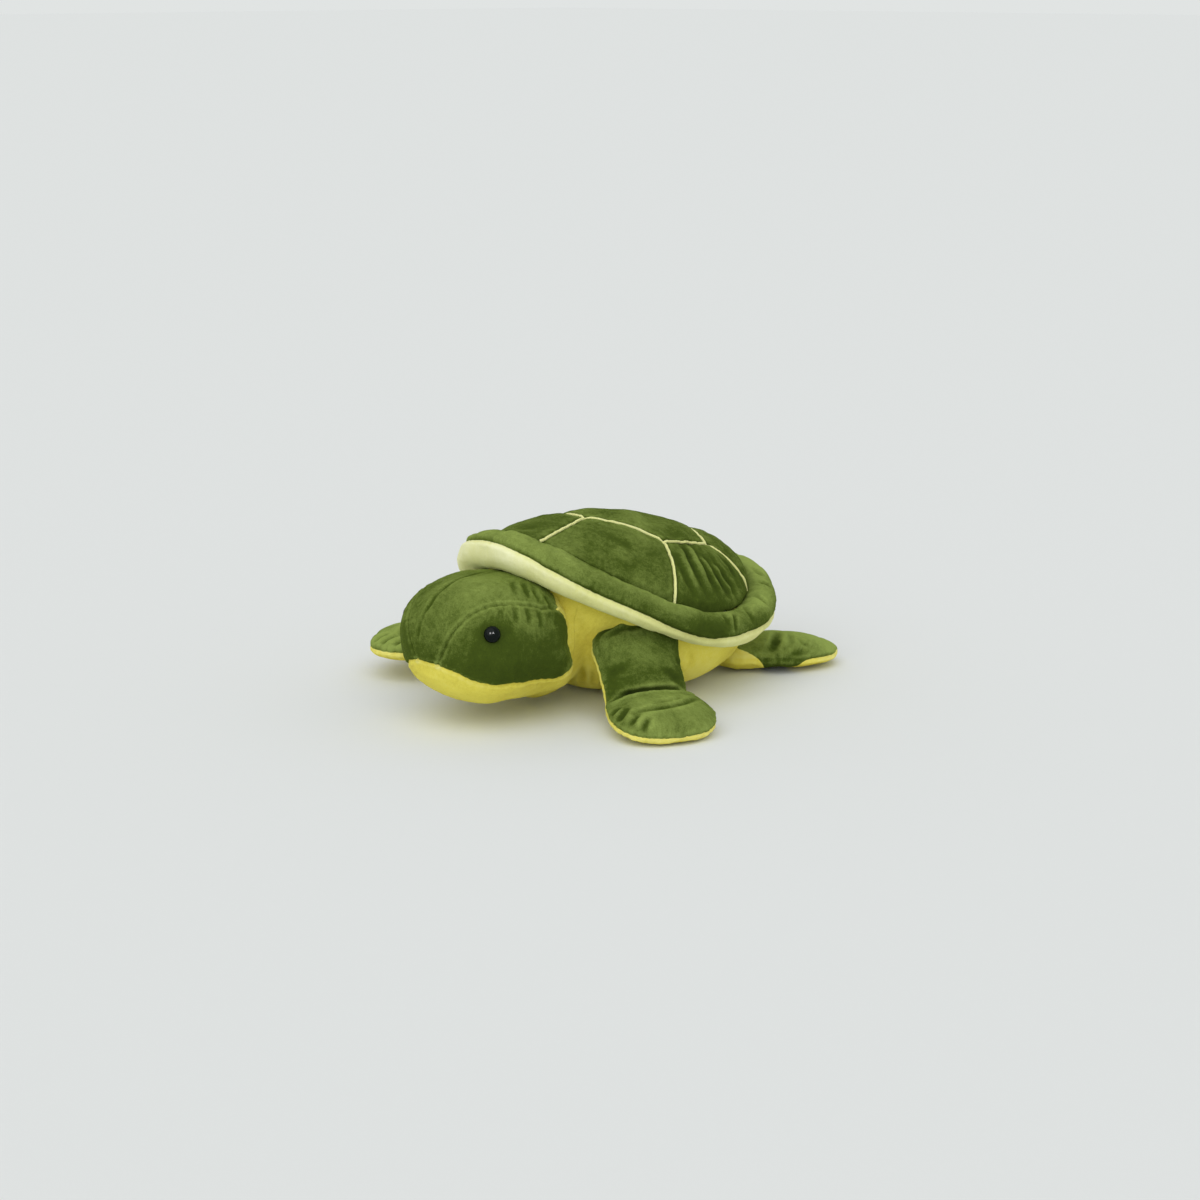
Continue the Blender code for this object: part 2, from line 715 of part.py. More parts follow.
def make_head(head, socket):
    """Make the five panels of the head, its stuffing and the eyes."""
    skin = head_grid(0.0)
    lining = head_grid(CLOTH)
    half = SEAM_GAP / 2
    first = HEAD_SIDE_ROWS
    last = HEAD_SIDE_ROWS + HEAD_MIDDLE_ROWS
    holes = {name: make_eye(name, side, head) for name, side in SIDES}
    for name, rows in (("right", slice(0, first + 1)), ("left", slice(last, None))):
        edges = (None, half, None, None) if name == "right" else (half, None, None, None)
        panel = make_panel("head_side_" + name, step_in(skin[rows], edges), step_in(lining[rows], edges),
                           "green_plush", head, True)
        cut(panel, socket, holes[name][0])
    over_top = list(range(GUSSET_COLUMNS + 1))
    chin_start = GUSSET_COLUMNS + NAPE_COLUMNS
    nape = list(range(GUSSET_COLUMNS, chin_start + 1))
    under = [k % HEAD_COLUMNS for k in range(chin_start, HEAD_COLUMNS + 1)]
    middle = (("head_gusset", over_top, "green_plush"), ("nape_panel", nape, "yellow_plush"),
              ("chin_panel", under, "yellow_plush"))
    for name, columns, material in middle:
        edges = (half, half, half, half)
        outer = step_in(skin[first : last + 1][:, columns], edges)
        inner = step_in(lining[first : last + 1][:, columns], edges)
        cut(make_panel(name, outer, inner, material, head), socket)
    core = make_core("head_stuffing", head_grid(CLOTH + SEAM_GAP), "fibre_fill", head)
    cut(core, socket, holes["left"][1], holes["right"][1])


# Flippers

def limb_rows(stations, cap_start, cap_end, side):
    """Upper half of a limb. Each station gives its place along X, half width and half thickness.

    A cap is half a round roll about the Y axis through its station, so that the end can turn.
    """
    rows = []

    def section(station, back=0.0):
        place, width, height = station
        reach = math.sin(math.radians(back)) * height
        rise = math.cos(math.radians(back)) * height
        return [(place + reach * up, side * width * out, abs(rise) * up) for out, up in SECTION_SHARES]

    if cap_start:
        rows += [section(stations[0], -turn) for turn in CAP_TURNS]
    rows += [section(station) for station in stations]
    if cap_end:
        rows += [section(stations[-1], turn) for turn in reversed(CAP_TURNS)]
    return np.array(rows)


def limb_ring_grid(upper):
    """Complete the upper half of a limb with its lower half, as closed rings."""
    lower = upper[:, -2:0:-1] * np.array((1.0, 1.0, -1.0))
    return np.concatenate((upper, lower), axis=1)


def make_limb(names, stations_at, caps, tip, side, parent, cutters=()):
    """Make the upper and lower panels of a limb and its stuffing."""
    def rows(inset):
        upper = limb_rows(stations_at(inset), caps[0], caps[1], side)
        if tip is not None:
            end = np.array([[(tip - inset, 0.0, 0.0)] * upper.shape[1]])
            upper = np.concatenate((upper, end))
        return upper

    lift = SEAM_GAP / 2
    outer, inner = rows(0.0), rows(CLOTH)
    upright = np.array((1.0, 1.0, 1.0))
    flipped = np.array((1.0, 1.0, -1.0))
    pieces = []
    for name, turn, material in ((names[0], upright, "green_plush"), (names[1], flipped, "yellow_plush")):
        panel = (lift_edge(outer, lift) * turn, lift_edge(inner, lift) * turn)
        pieces.append(make_panel(name, *panel, material, parent))
    pieces.append(make_core(names[2], limb_ring_grid(rows(CLOTH + SEAM_GAP)), "fibre_fill", parent))
    for piece in pieces:
        cut(piece, *cutters)
    return pieces


def lift_edge(grid, lift):
    """Leave half a seam gap along a limb's edge, by lifting the edge off the plane of the seam."""
    moved = np.array(grid)
    moved[..., 2] = np.maximum(moved[..., 2], lift)
    return moved


def arm_stations(inset):
    """Stations of an arm between the shoulder roll and the fold."""
    rows = []
    for place, wide, thick in ARM_SHARES:
        width = ARM_ROOT_HALF_WIDTH + (ARM_FOLD_HALF_WIDTH - ARM_ROOT_HALF_WIDTH) * wide
        height = (ARM_ROOT_RADIUS + (ARM_FOLD_RADIUS - ARM_ROOT_RADIUS) * place) * thick
        rows.append((ARM_LENGTH * place, width - inset, height - inset))
    return rows


def paw_stations(inset):
    """Stations of a paw between the fold and its tip."""
    return [(PAW_LENGTH * place, PAW_HALF_WIDTH * wide - inset, PAW_HALF_THICKNESS * thick - inset)
            for place, wide, thick in PAW_SHARES]


def rear_stations(inset):
    """Stations of a rear flipper between the hip roll and its tip."""
    rows = [(0.0, REAR_ROOT_HALF_WIDTH - inset, REAR_ROOT_RADIUS - inset)]
    rows += [(REAR_LENGTH * place, REAR_HALF_WIDTH * wide - inset, REAR_HALF_THICKNESS * thick - inset)
             for place, wide, thick in REAR_SHARES]
    return rows


def make_roll_cutter(name, radius, half_width, parent):
    """The room of a round roll about the Y axis of its parent."""
    builder = bmesh.new()
    sideways = Matrix.Rotation(math.pi / 2, 4, "X")
    bmesh.ops.create_cone(builder, cap_ends=True, segments=ROLL_ROOM_SEGMENTS, radius1=radius,
                          radius2=radius, depth=2 * half_width, matrix=sideways)
    return as_cutter(add_object(name, builder, "yellow_plush", parent))


def make_swing_cutter(name, radius, parent):
    """The room of an arm about its shoulder: the hull of its roll and of its slab at each swing."""
    builder = bmesh.new()
    centres = [(0.0, 0.0)]
    for swing in np.radians(ARM_ROOM_SWINGS):
        centres.append((ARM_ROOM_REACH * math.cos(swing), -ARM_ROOM_REACH * math.sin(swing)))
    for along, up in centres:
        for turn in (2 * math.pi * k / ROLL_ROOM_SEGMENTS for k in range(ROLL_ROOM_SEGMENTS)):
            for width in (-ARM_ROOM_HALF_WIDTH, ARM_ROOM_HALF_WIDTH):
                builder.verts.new((along + radius * math.cos(turn), width, up + radius * math.sin(turn)))
    hull = bmesh.ops.convex_hull(builder, input=builder.verts[:])
    inside = [item for item in hull["geom_interior"] if isinstance(item, bmesh.types.BMVert)]
    bmesh.ops.delete(builder, geom=inside, context="VERTS")
    return as_cutter(add_object(name, builder, "yellow_plush", parent))


def shoulder_frame(side, azimuth):
    """Place and turns of a shoulder: X runs out along the arm, Y along the seam that it turns about."""
    heading = math.radians(-azimuth) if side > 0 else math.radians(180 + azimuth)
    return Vector((side * (SHELL_HALF_WIDTH - SHOULDER_INSET), -SHOULDER_AHEAD, SHOULDER_Z)), heading


def make_front_flipper(name, side):
    """Make an arm and a paw. Return the cutter of the shoulder's socket."""
    azimuth, arm_slope, paw_slope = FLIPPER_POSES[name]
    place, heading = shoulder_frame(side, azimuth)
    arm = add_empty("shoulder_" + name, place, (0.0, math.radians(arm_slope), heading))
    fold_place = world_of(arm) @ Vector((ARM_LENGTH, 0.0, 0.0))
    paw = add_empty("fold_" + name, fold_place, (0.0, math.radians(paw_slope), heading), arm)
    names = ["arm_" + part + name for part in ("top_", "underside_", "stuffing_")]
    make_limb(names, arm_stations, (True, True), None, side, arm)
    radius = ARM_FOLD_RADIUS + ROLL_CLEARANCE
    room = make_roll_cutter("fold_room_" + name, radius, PAW_HALF_WIDTH + CUT_OVERRUN, paw)
    names = ["paw_" + part + name for part in ("top_", "underside_", "stuffing_")]
    make_limb(names, paw_stations, (False, False), PAW_LENGTH, side, paw, (room,))
    radius = ARM_ROOT_RADIUS + ROLL_CLEARANCE
    return make_swing_cutter("shoulder_room_" + name, radius, arm)


def make_rear_flipper(name, side):
    """Make a rear flipper. Return the cutter of the hip's socket."""
    heading = math.radians(-REAR_AZIMUTH) if side > 0 else math.radians(180 + REAR_AZIMUTH)
    place = (side * HIP_X, SHELL_HALF_LENGTH - HIP_INSET, HIP_Z)
    hip = add_empty("hip_" + name, place, (0.0, math.radians(REAR_SLOPE), heading))
    names = ["rear_flipper_" + part + name for part in ("top_", "underside_", "stuffing_")]
    make_limb(names, rear_stations, (True, False), REAR_LENGTH, side, hip)
    radius = REAR_ROOT_RADIUS + ROLL_CLEARANCE
    return make_roll_cutter("hip_room_" + name, radius, REAR_ROOT_HALF_WIDTH + ROLL_CLEARANCE, hip)


def main():
    """Build the turtle: flippers first, because their rolls leave sockets in the body."""
    clear_scene()
    root = add_empty("torso", (0.0, 0.0, 0.0))
    neck_y = NECK_INSET - SHELL_HALF_LENGTH
    neck = add_empty("neck", (0.0, neck_y, NECK_Z))
    head = add_empty("head", (0.0, neck_y - HEAD_AHEAD, NECK_Z + HEAD_LIFT), parent=neck)
    rooms = [make_front_flipper(name, side) for name, side in SIDES]
    rooms += [make_rear_flipper(name, side) for name, side in SIDES]
    neck_room = make_ball_cutter("neck_room", neck)
    make_shell(root)
    make_rim(root)
    make_body(root, (neck_room, *rooms))
    make_neck(neck)
    make_head(head, neck_room)


main()
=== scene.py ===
"""A stuffed sea turtle in short-pile plush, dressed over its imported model.

Each padded part is built as one closed form, stuffed by a short cloth simulation, sculpted with its
seams and creases, and then cut along its seams into the panels that it is sewn from.
"""

import logging
import math
from collections.abc import Callable, Sequence
from dataclasses import dataclass
from enum import Enum

import bmesh
import bpy
import numpy as np
from mathutils import Matrix, Vector, noise
from mathutils.bvhtree import BVHTree


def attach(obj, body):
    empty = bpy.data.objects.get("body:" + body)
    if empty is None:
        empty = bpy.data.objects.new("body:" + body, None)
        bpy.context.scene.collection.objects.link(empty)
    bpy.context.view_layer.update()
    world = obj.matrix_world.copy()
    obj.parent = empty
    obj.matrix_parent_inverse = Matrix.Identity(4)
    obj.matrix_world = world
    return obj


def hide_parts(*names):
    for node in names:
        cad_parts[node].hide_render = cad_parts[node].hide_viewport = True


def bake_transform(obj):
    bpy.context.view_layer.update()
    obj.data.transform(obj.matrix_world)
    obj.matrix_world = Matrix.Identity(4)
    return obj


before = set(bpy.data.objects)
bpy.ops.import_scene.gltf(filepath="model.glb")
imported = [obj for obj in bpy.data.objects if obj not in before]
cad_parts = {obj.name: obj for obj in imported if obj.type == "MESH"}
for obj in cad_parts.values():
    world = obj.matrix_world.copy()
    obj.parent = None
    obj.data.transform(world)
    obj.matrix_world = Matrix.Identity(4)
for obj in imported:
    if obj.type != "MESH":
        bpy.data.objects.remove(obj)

Array = np.ndarray
Pixel = tuple[float, float]
Place = tuple[float, float, float]
Colour = tuple[float, float, float]
Solid = tuple[Array, list[tuple[int, ...]]]
Table = tuple[tuple[float, ...], ...]
LOG = logging.getLogger("turtle")
# Painted shade and highlight per metre that a vertex sinks or rises, and the sinking and rising that counts
PAINTED_LIGHT_PER_METRE = 150.0
SHADED_MOVES = (-0.004, 0.002)
FLOOR_HOLD = 0.002
FLOOR_GAP = 0.0003


class Slot(Enum):
    """Material slots of the record."""

    GREEN = "green_plush"
    PALE = "pale_plush"
    YELLOW = "yellow_plush"
    FIBRE = "fibre_fill"
    EYE = "eye_black"
    WASHER = "washer_white"


class Side(Enum):
    """The turtle's left and right, with the sign of X."""

    LEFT = 1.0
    RIGHT = -1.0

    @property
    def word(self) -> str:
        """The side as it stands in a node's name."""
        return self.name.lower()


@dataclass(frozen=True)
class PhotoView:
    """The photograph's camera, for a frame of 1200 pixels each way."""

    azimuth: float = 44.0
    elevation: float = 14.0
    distance: float = 2.5
    target: Place = (-0.0134, -0.0126, 0.0810)
    frame_pixels: float = 1200.0
    pixels_per_metre: float = 1000.0
    sensor: float = 36.0
    steps: int = 8

    def back(self) -> Vector:
        """Direction from the target to the camera."""
        a, e = math.radians(self.azimuth), math.radians(self.elevation)
        return Vector((math.sin(a) * math.cos(e), -math.cos(a) * math.cos(e), math.sin(e)))

    def place(self) -> Vector:
        """Where the camera stands."""
        return Vector(self.target) + self.back() * self.distance

    def lens(self) -> float:
        """Focal length in millimetres."""
        return self.pixels_per_metre * self.distance * self.sensor / self.frame_pixels

    def ray(self, pixel: Pixel) -> Vector:
        """Direction of the ray through one pixel of the photograph.

        Args:
            pixel: Place in the photograph's frame, right and down from its top left corner.

        Returns:
            A unit vector from the camera.
        """
        back = self.back()
        right = Vector((-back.y, back.x, 0.0)).normalized()
        up = back.cross(right)
        focal = self.pixels_per_metre * self.distance
        across = (pixel[0] - self.frame_pixels / 2) / focal
        down = (pixel[1] - self.frame_pixels / 2) / focal
        return (right * across - up * down - back).normalized()

    def onto(self, tree: BVHTree, path: Sequence[Pixel], mirror: bool = False) -> Array:
        """Lay a path of pixels on a form.

        Args:
            tree: The faces that the path lies on.
            path: Pixels of the photograph.
            mirror: True to use the other side of the turtle.

        Returns:
            The points where the rays meet the form, spaced evenly enough to sculpt with.
        """
        place = self.place()
        hits = []
        for start, end in zip(path, path[1:]):
            for k in range(self.steps):
                share = k / self.steps
                pixel = (start[0] + (end[0] - start[0]) * share, start[1] + (end[1] - start[1]) * share)
                ray = self.ray(pixel)
                origin = Vector((-place.x, place.y, place.z)) if mirror else place
                ray = Vector((-ray.x, ray.y, ray.z)) if mirror else ray
                found = tree.ray_cast(origin, ray)[0]
                if found is not None:
                    hits.append(tuple(found))
        return np.array(hits) if hits else np.empty((0, 3))


@dataclass(frozen=True)
class Crease:
    """A fold in the plush, along pixels of the photograph."""

    path: tuple[Pixel, ...]
    depth: float
    width: float
    lip: float = 0.35


@dataclass(frozen=True)
class Filling:
    """How a form is remeshed and stuffed."""

    voxel: float = 0.004
    pressure: float = 4.0
    slack: float = 0.02
    travel: float = 0.006
    frames: int = 14
    refine: int = 1
    seam_hold: float = 0.9

    def hold(self) -> float:
        """Distance from a seam within which it holds the plush still."""
        return self.voxel * self.seam_hold


@dataclass(frozen=True)
class Pucker:
    """Small gathers along a seam."""

    depth: float
    reach: float
    spacing: float


@dataclass(frozen=True)
class Stitch:
    """How a seam draws the plush in and gathers it, and the highlight painted on the pile beside it."""

    depth: float
    width: float
    lip: float
    gathers: Pucker
    # Painted highlight on the pile beside the seam, and the width over which it fades
    brushed: float = 0.0
    highlight_width: float = 0.0


def link(name: str, data: bpy.types.ID) -> bpy.types.Object:
    """Make an object of its data and put it in the scene."""
    item = bpy.data.objects.new(name, data)
    bpy.context.scene.collection.objects.link(item)
    return item


def vectors(items: bpy.types.bpy_prop_collection, name: str) -> Array:
    """One vector of each vertex or face."""
    data = np.empty(len(items) * 3, np.float32)
    items.foreach_get(name, data)
    return data.reshape(-1, 3).astype(float)


def evaluated(item: bpy.types.Object) -> bpy.types.Mesh:
    """The mesh that an object's modifiers, or its curve, give."""
    graph = bpy.context.evaluated_depsgraph_get()
    return bpy.data.meshes.new_from_object(item.evaluated_get(graph))


def deselect() -> None:
    """Deselect everything, before an operator acts."""
    for chosen in bpy.context.selected_objects:
        chosen.select_set(False)


class SoftForm:
    """A closed padded form while it is stuffed, sculpted and cut into panels."""

    def __init__(self, name: str, parts: Sequence[Solid]) -> None:
        """Join closed parts into one mesh.

        Args:
            name: Name of the working object.
            parts: Points and faces of each closed part. Parts may overlap, as the remesh unites them.
        """
        points: list[Array] = []
        faces: list[tuple[int, ...]] = []
        start = 0
        for part_points, part_faces in parts:
            points.append(part_points)
            faces += [tuple(i + start for i in face) for face in part_faces]
            start += len(part_points)
        mesh = bpy.data.meshes.new(name)
        mesh.from_pydata(np.concatenate(points).tolist(), [], faces)
        outwards(mesh)
        self.item = link(name, mesh)
        # Painted light and shade of the pile at each vertex, which the pile's colour reads
        self.tone = np.zeros(0)

    @property
    def points(self) -> Array:
        """Places of the form's vertices."""
        return vectors(self.item.data.vertices, "co")

    @points.setter
    def points(self, places: Array) -> None:
        """Move the form's vertices."""
        self.item.data.vertices.foreach_set("co", places.astype(np.float32).ravel())
        self.item.data.update()

    def normals(self) -> Array:
        """Outward directions at the vertices."""
        return vectors(self.item.data.vertex_normals, "vector")

    def tree(self) -> BVHTree:
        """A search tree of the form's faces."""
        mesh = self.item.data
        return BVHTree.FromPolygons([v.co for v in mesh.vertices], [p.vertices for p in mesh.polygons])

    def take_evaluated(self) -> None:
        """Keep the mesh that the modifiers give, and drop the modifiers."""
        mesh = evaluated(self.item)
        old = self.item.data
        self.item.modifiers.clear()
        self.item.data = mesh
        bpy.data.meshes.remove(old)

    def remesh(self, voxel: float) -> None:
        """Give the form an even mesh.

        Args:
            voxel: Size of its faces, in metres.
        """
        modifier = self.item.modifiers.new("even", "REMESH")
        modifier.mode = "VOXEL"
        modifier.voxel_size = voxel
        self.take_evaluated()
        smooth = self.item.modifiers.new("relax", "SMOOTH")
        smooth.factor = 0.5
        smooth.iterations = 4
        self.take_evaluated()

    def stuff(self, filling: Filling, held: Array) -> None:
        """Blow the plush up with a short cloth simulation.

        Args:
            filling: Pressure, slack and the furthest that a point may move.
            held: True at the vertices that a seam or the body holds in place.
        """
        start = self.points
        group = self.item.vertex_groups.new(name="held")
        group.add([int(i) for i in np.flatnonzero(held)], 1.0, "REPLACE")
        cloth = self.item.modifiers.new("plush", "CLOTH")
        settings = cloth.settings
        settings.vertex_group_mass = "held"
        settings.quality = 5
        settings.mass = 0.2
        settings.tension_stiffness = 12.0
        settings.compression_stiffness = 12.0
        settings.shear_stiffness = 4.0
        settings.bending_stiffness = 0.3
        settings.use_pressure = True
        settings.uniform_pressure_force = filling.pressure
        settings.shrink_min = -filling.slack
        settings.effector_weights.gravity = 0.0
        cloth.collision_settings.use_collision = False
        cloth.collision_settings.use_self_collision = False
        cloth.point_cache.frame_start = 1
        cloth.point_cache.frame_end = filling.frames
        scene = bpy.context.scene
        for number in range(1, filling.frames + 1):
            scene.frame_set(number)
        self.take_evaluated()
        scene.frame_set(1)
        self.item.vertex_groups.clear()
        moved = self.points - start
        length = np.linalg.norm(moved, axis=1, keepdims=True)
        eased = np.tanh(length / filling.travel)
        capped = moved * filling.travel * eased / np.maximum(length, filling.travel / 1000)
        self.points = start + np.nan_to_num(capped)

    def refine(self, levels: int) -> None:
        """Divide the mesh, rounding it as it goes."""
        modifier = self.item.modifiers.new("fine", "SUBSURF")
        modifier.levels = levels
        modifier.render_levels = levels
        self.take_evaluated()

    def start_sculpting(self, top_light: float = 0.10) -> None:
        """Begin the painted light and shade of the pile, painted lighter where it faces up to the light.

        Args:
            top_light: How much lighter the pile is painted where it faces up than where it faces sideways.
        """
        rise = self.normals()[:, 2]
        # Painted light on upward faces and painted shade on downward ones
        self.tone = top_light * np.clip(rise, -0.6, 1.0)

    def push(self, amounts: Array, shade: float = 1.0) -> None:
        """Move each vertex along its normal.

        Args:
            amounts: Distances in metres, positive outwards.
            shade: Share of the move that is also painted into the pile, as shade where it sinks and as
                highlight where it rises.
        """
        self.points = self.points + self.normals() * amounts[:, None]
        # Painted shade where the surface sinks, painted highlight where it rises
        self.tone += np.clip(amounts * shade, *SHADED_MOVES) * PAINTED_LIGHT_PER_METRE

    def brush(self, line: Array, amount: float, width: float) -> None:
        """Paint light into the pile along a line: a highlight for a positive amount, shade for a negative
        one.

        Args:
            line: Points along the stroke.
            amount: Change of the painted light, positive for a painted highlight and negative for painted
                shade.
            width: Distance at which it has mostly faded.
        """
        if len(line) < 2:
            return
        away = distance_to(self.points, line)[0]
        # Painted highlight for a positive amount, painted shade for a negative one
        self.tone += amount * np.exp(-((away / width) ** 2))

    def groove(self, line: Array, depth: float, width: float, lip: float = 0.35, fade: bool = True) -> None:
        """Press a groove along a line, with a soft lip on both sides, and paint shade into the groove and
        highlight on the lips.

        Args:
            line: Points along the groove.
            depth: Depth in its middle.
            width: Distance at which it has mostly faded.
            lip: Height of the lips as a share of the depth.
            fade: True if the groove dies away at both ends.
        """
        if len(line) < 2:
            return
        end_share, end_power = 0.3, 0.7
        lip_place, lip_spread = 1.7, 0.5
        away, along, total = distance_to(self.points, line)
        strength = np.ones(len(away))
        if fade:
            ends = total * end_share
            strength = np.clip(np.minimum(along, total - along) / ends, 0.0, 1.0) ** end_power
            strength = np.where((along <= 0) | (along >= total), 0.0, strength)
        ratio = away / width
        profile = -np.exp(-(ratio**2)) + lip * np.exp(-((ratio - lip_place) ** 2) / lip_spread)
        # The move also paints shade into the groove and highlight on its lips
        self.push(profile * depth * strength)

    def puckers(self, line: Array, pucker: Pucker, seed: float) -> None:
        """Gather the plush along a seam into short folds across it, with painted shade in the folds and
        painted highlight between them.

        Args:
            line: Points along the seam.
            pucker: Size and spacing of the folds.
            seed: Number that makes this seam's folds its own.
        """
        away, along, _ = distance_to(self.points, line)
        near = away < pucker.reach * 3.0
        amounts = np.zeros(len(away))
        for index in np.flatnonzero(near):
            place = along[index] / pucker.spacing
            jitter = noise.noise(Vector((place * 0.8, seed, 0.0)))
            phase = math.cos(2 * math.pi * (place + 0.45 * jitter))
            size = 0.55 + 0.9 * noise.noise(Vector((place * 0.37, seed, 3.0)))
            reach = pucker.reach * (0.7 + 0.8 * abs(noise.noise(Vector((place * 0.6, seed, 7.0)))))
            fade = math.exp(-((away[index] / reach) ** 1.5))
            amounts[index] = (0.35 - max(0.0, -phase) ** 0.7) * max(0.0, size) * fade
        # The move also paints shade into the folds and highlight between them
        self.push(amounts * pucker.depth)

    def sew(self, line: Array, stitch: Stitch, seed: float) -> None:
        """Draw the plush in along a seam, with painted shade in its groove and painted highlight beside it.

        Args:
            line: Points along the seam.
            stitch: The seam's groove, the painted highlight beside it and its gathers.
            seed: Number that makes this seam's gathers its own.
        """
        self.groove(line, stitch.depth, stitch.width, stitch.lip, fade=False)
        # Painted highlight on the pile along the seam
        if stitch.brushed > 0:
            self.brush(line, stitch.brushed, stitch.highlight_width)
        self.puckers(line, stitch.gathers, seed)

    def press(self, view: PhotoView, creases: Sequence[Crease], far_share: float = 1.0) -> None:
        """Press creases into the side that the photograph shows and, mirrored, into the other side.

        Args:
            view: The photograph's camera.
            creases: The creases, as the photograph shows them.
            far_share: Depth on the other side, as a share of the depth on the side that it shows.
        """
        for crease in creases:
            for mirror, share in ((False, 1.0), (True, far_share)):
                line = view.onto(self.tree(), crease.path, mirror)
                self.groove(line, crease.depth * share, crease.width, crease.lip)

    def near(self, lines: Sequence[Array], reach: float) -> Array:
        """True at the vertices that lie nearer than a reach to any of the lines."""
        points = self.points
        found = np.zeros(len(points), bool)
        for line in lines:
            found |= distance_to(points, line)[0] < reach
        return found

    def keep_above(self, height: float) -> None:
        """Flatten what would lie below a height."""
        places = self.points
        places[:, 2] = np.maximum(places[:, 2], height)
        self.points = places

    def lumps(self, height: float, spacing: float, seed: float) -> None:
        """Make the uneven lumps of fibre stuffing, with painted highlight on the lumps and painted shade
        between them.

        Args:
            height: Height of a lump.
            spacing: Distance between lumps.
            seed: Number that makes this form's lumps its own.
        """
        places = self.points / spacing
        amounts = [noise.noise(Vector((x + seed, y - seed, z))) for x, y, z in places]
        # Half of each move is painted in: highlight on the lumps, shade in the hollows
        self.push(np.array(amounts) * height, 0.5)

    def nearest(self, line: Array) -> Array:
        """The places of the surface that lie nearest to points."""
        tree = self.tree()
        return np.array([tuple(tree.find_nearest(Vector(point))[0]) for point in line]).reshape(-1, 3)

    def cut(self, split: Callable[[Array], Array]) -> None:
        """Cut the mesh along the zero line of a field, so that a seam runs along edges.

        Args:
            split: Gives the field at an array of points.
        """
        builder = bmesh.new()
        builder.from_mesh(self.item.data)
        # Carry the painted light and shade across the cut
        layer = builder.verts.layers.float.new("tone")
        for vertex, value in zip(builder.verts, self.tone):
            vertex[layer] = value
        builder.verts.ensure_lookup_table()
        values = split(np.array([v.co for v in builder.verts]))
        values = np.where(np.abs(values) < 1e-6, 1e-6, values)
        crossed = [e for e in builder.edges if values[e.verts[0].index] * values[e.verts[1].index] < 0]
        fresh = set()
        for edge in crossed:
            first, second = edge.verts
            a, b = values[first.index], values[second.index]
            _, vertex = bmesh.utils.edge_split(edge, first, a / (a - b))
            fresh.add(vertex)
        builder.faces.index_update()
        touched = {face for vertex in fresh for face in vertex.link_faces}
        for face in sorted(touched, key=lambda f: f.index):
            ends = [v for v in face.verts if v in fresh]
            if len(ends) == 2 and not any(e.other_vert(ends[0]) is ends[1] for e in ends[0].link_edges):
                bmesh.utils.face_split(face, ends[0], ends[1])
        builder.verts.index_update()
        self.tone = np.array([v[layer] for v in builder.verts])
        builder.to_mesh(self.item.data)
        builder.free()

    def panel(self, name: str, chosen: Array, thickness: float) -> bpy.types.Object:
        """Take some of the faces as a sewn panel with the thickness of its cloth.

        Args:
            name: Name of the new piece.
            chosen: True at the faces to take.
            thickness: Thickness of the cloth, or 0 for a closed piece.

        Returns:
            The new piece.
        """
        mesh = self.item.data
        points = self.points
        picked = [mesh.polygons[int(i)].vertices[:] for i in np.flatnonzero(chosen)]
        used = sorted({v for face in picked for v in face})
        place = {old: new for new, old in enumerate(used)}
        made = bpy.data.meshes.new(name)
        made.from_pydata(points[used].tolist(), [], [[place[v] for v in face] for face in picked])
        # Keep the painted light and shade as a point attribute for the pile's colour
        tone = made.attributes.new("tone", "FLOAT", "POINT")
        tone.data.foreach_set("value", self.tone[used].astype(np.float32))
        made.shade_smooth()
        item = link(name, made)
        if thickness > 0:
            solid = item.modifiers.new("cloth", "SOLIDIFY")
            solid.thickness = thickness
            solid.offset = -1.0
            solid.use_even_offset = False
            thick = evaluated(item)
            item.modifiers.clear()
            item.data = thick
            thick.name = name
            bpy.data.meshes.remove(made)
        return item

    def centres(self) -> Array:
        """Middle points of the faces."""
        return vectors(self.item.data.polygons, "center")

    def core(self, name: str, depth: float) -> bpy.types.Object:
        """Make the mass of stuffing inside the form.

        Args:
            name: Name of the new piece.
            depth: How far it lies under the form's face.

        Returns:
            The new piece.
        """
        mesh = self.item.data.copy()
        mesh.name = name
        item = link(name, mesh)
        places = self.points - self.normals() * depth
        mesh.vertices.foreach_set("co", places.astype(np.float32).ravel())
        mesh.shade_smooth()
        mesh.update()
        return item

    def upward(self) -> Array:
        """Upward share of each face's normal."""
        return vectors(self.item.data.polygons, "normal")[:, 2]

    def discard(self) -> None:
        """Remove the working object."""
        mesh = self.item.data
        bpy.data.objects.remove(self.item, do_unlink=True)
        bpy.data.meshes.remove(mesh)


def outwards(mesh: bpy.types.Mesh) -> None:
    """Merge doubled points and turn every face outwards.

    Args:
        mesh: The mesh to mend.
    """
    builder = bmesh.new()
    builder.from_mesh(mesh)
    bmesh.ops.remove_doubles(builder, verts=builder.verts, dist=1e-6)
    bmesh.ops.recalc_face_normals(builder, faces=builder.faces)
    builder.to_mesh(mesh)
    builder.free()


def distance_to(points: Array, line: Array) -> tuple[Array, Array, float]:
    """Measure points against a line of short pieces.

    Args:
        points: Places to measure.
        line: Points along the line.

    Returns:
        The distance to the line, the length along it at the nearest point, and its whole length.
    """
    starts, ends = line[:-1], line[1:]
    steps = ends - starts
    lengths = np.linalg.norm(steps, axis=1)
    before = np.concatenate(([0.0], np.cumsum(lengths)))
    best = np.full(len(points), np.inf)
    along = np.zeros(len(points))
    for index, (start, step, length) in enumerate(zip(starts, steps, lengths)):
        if length < 1e-9:
            continue
        share = np.clip((points - start) @ step / length**2, 0.0, 1.0)
        away = np.linalg.norm(points - start - share[:, None] * step, axis=1)
        nearer = away < best
        best[nearer] = away[nearer]
        along[nearer] = before[index] + share[nearer] * length
    return best, along, float(before[-1])


def ragged(points: Array, fineness: float, amount: float) -> Array:
    """Small unevenness at points, which keeps a sewn edge from looking ruled."""
    return np.array([noise.noise(Vector(point) * fineness) for point in points]) * amount


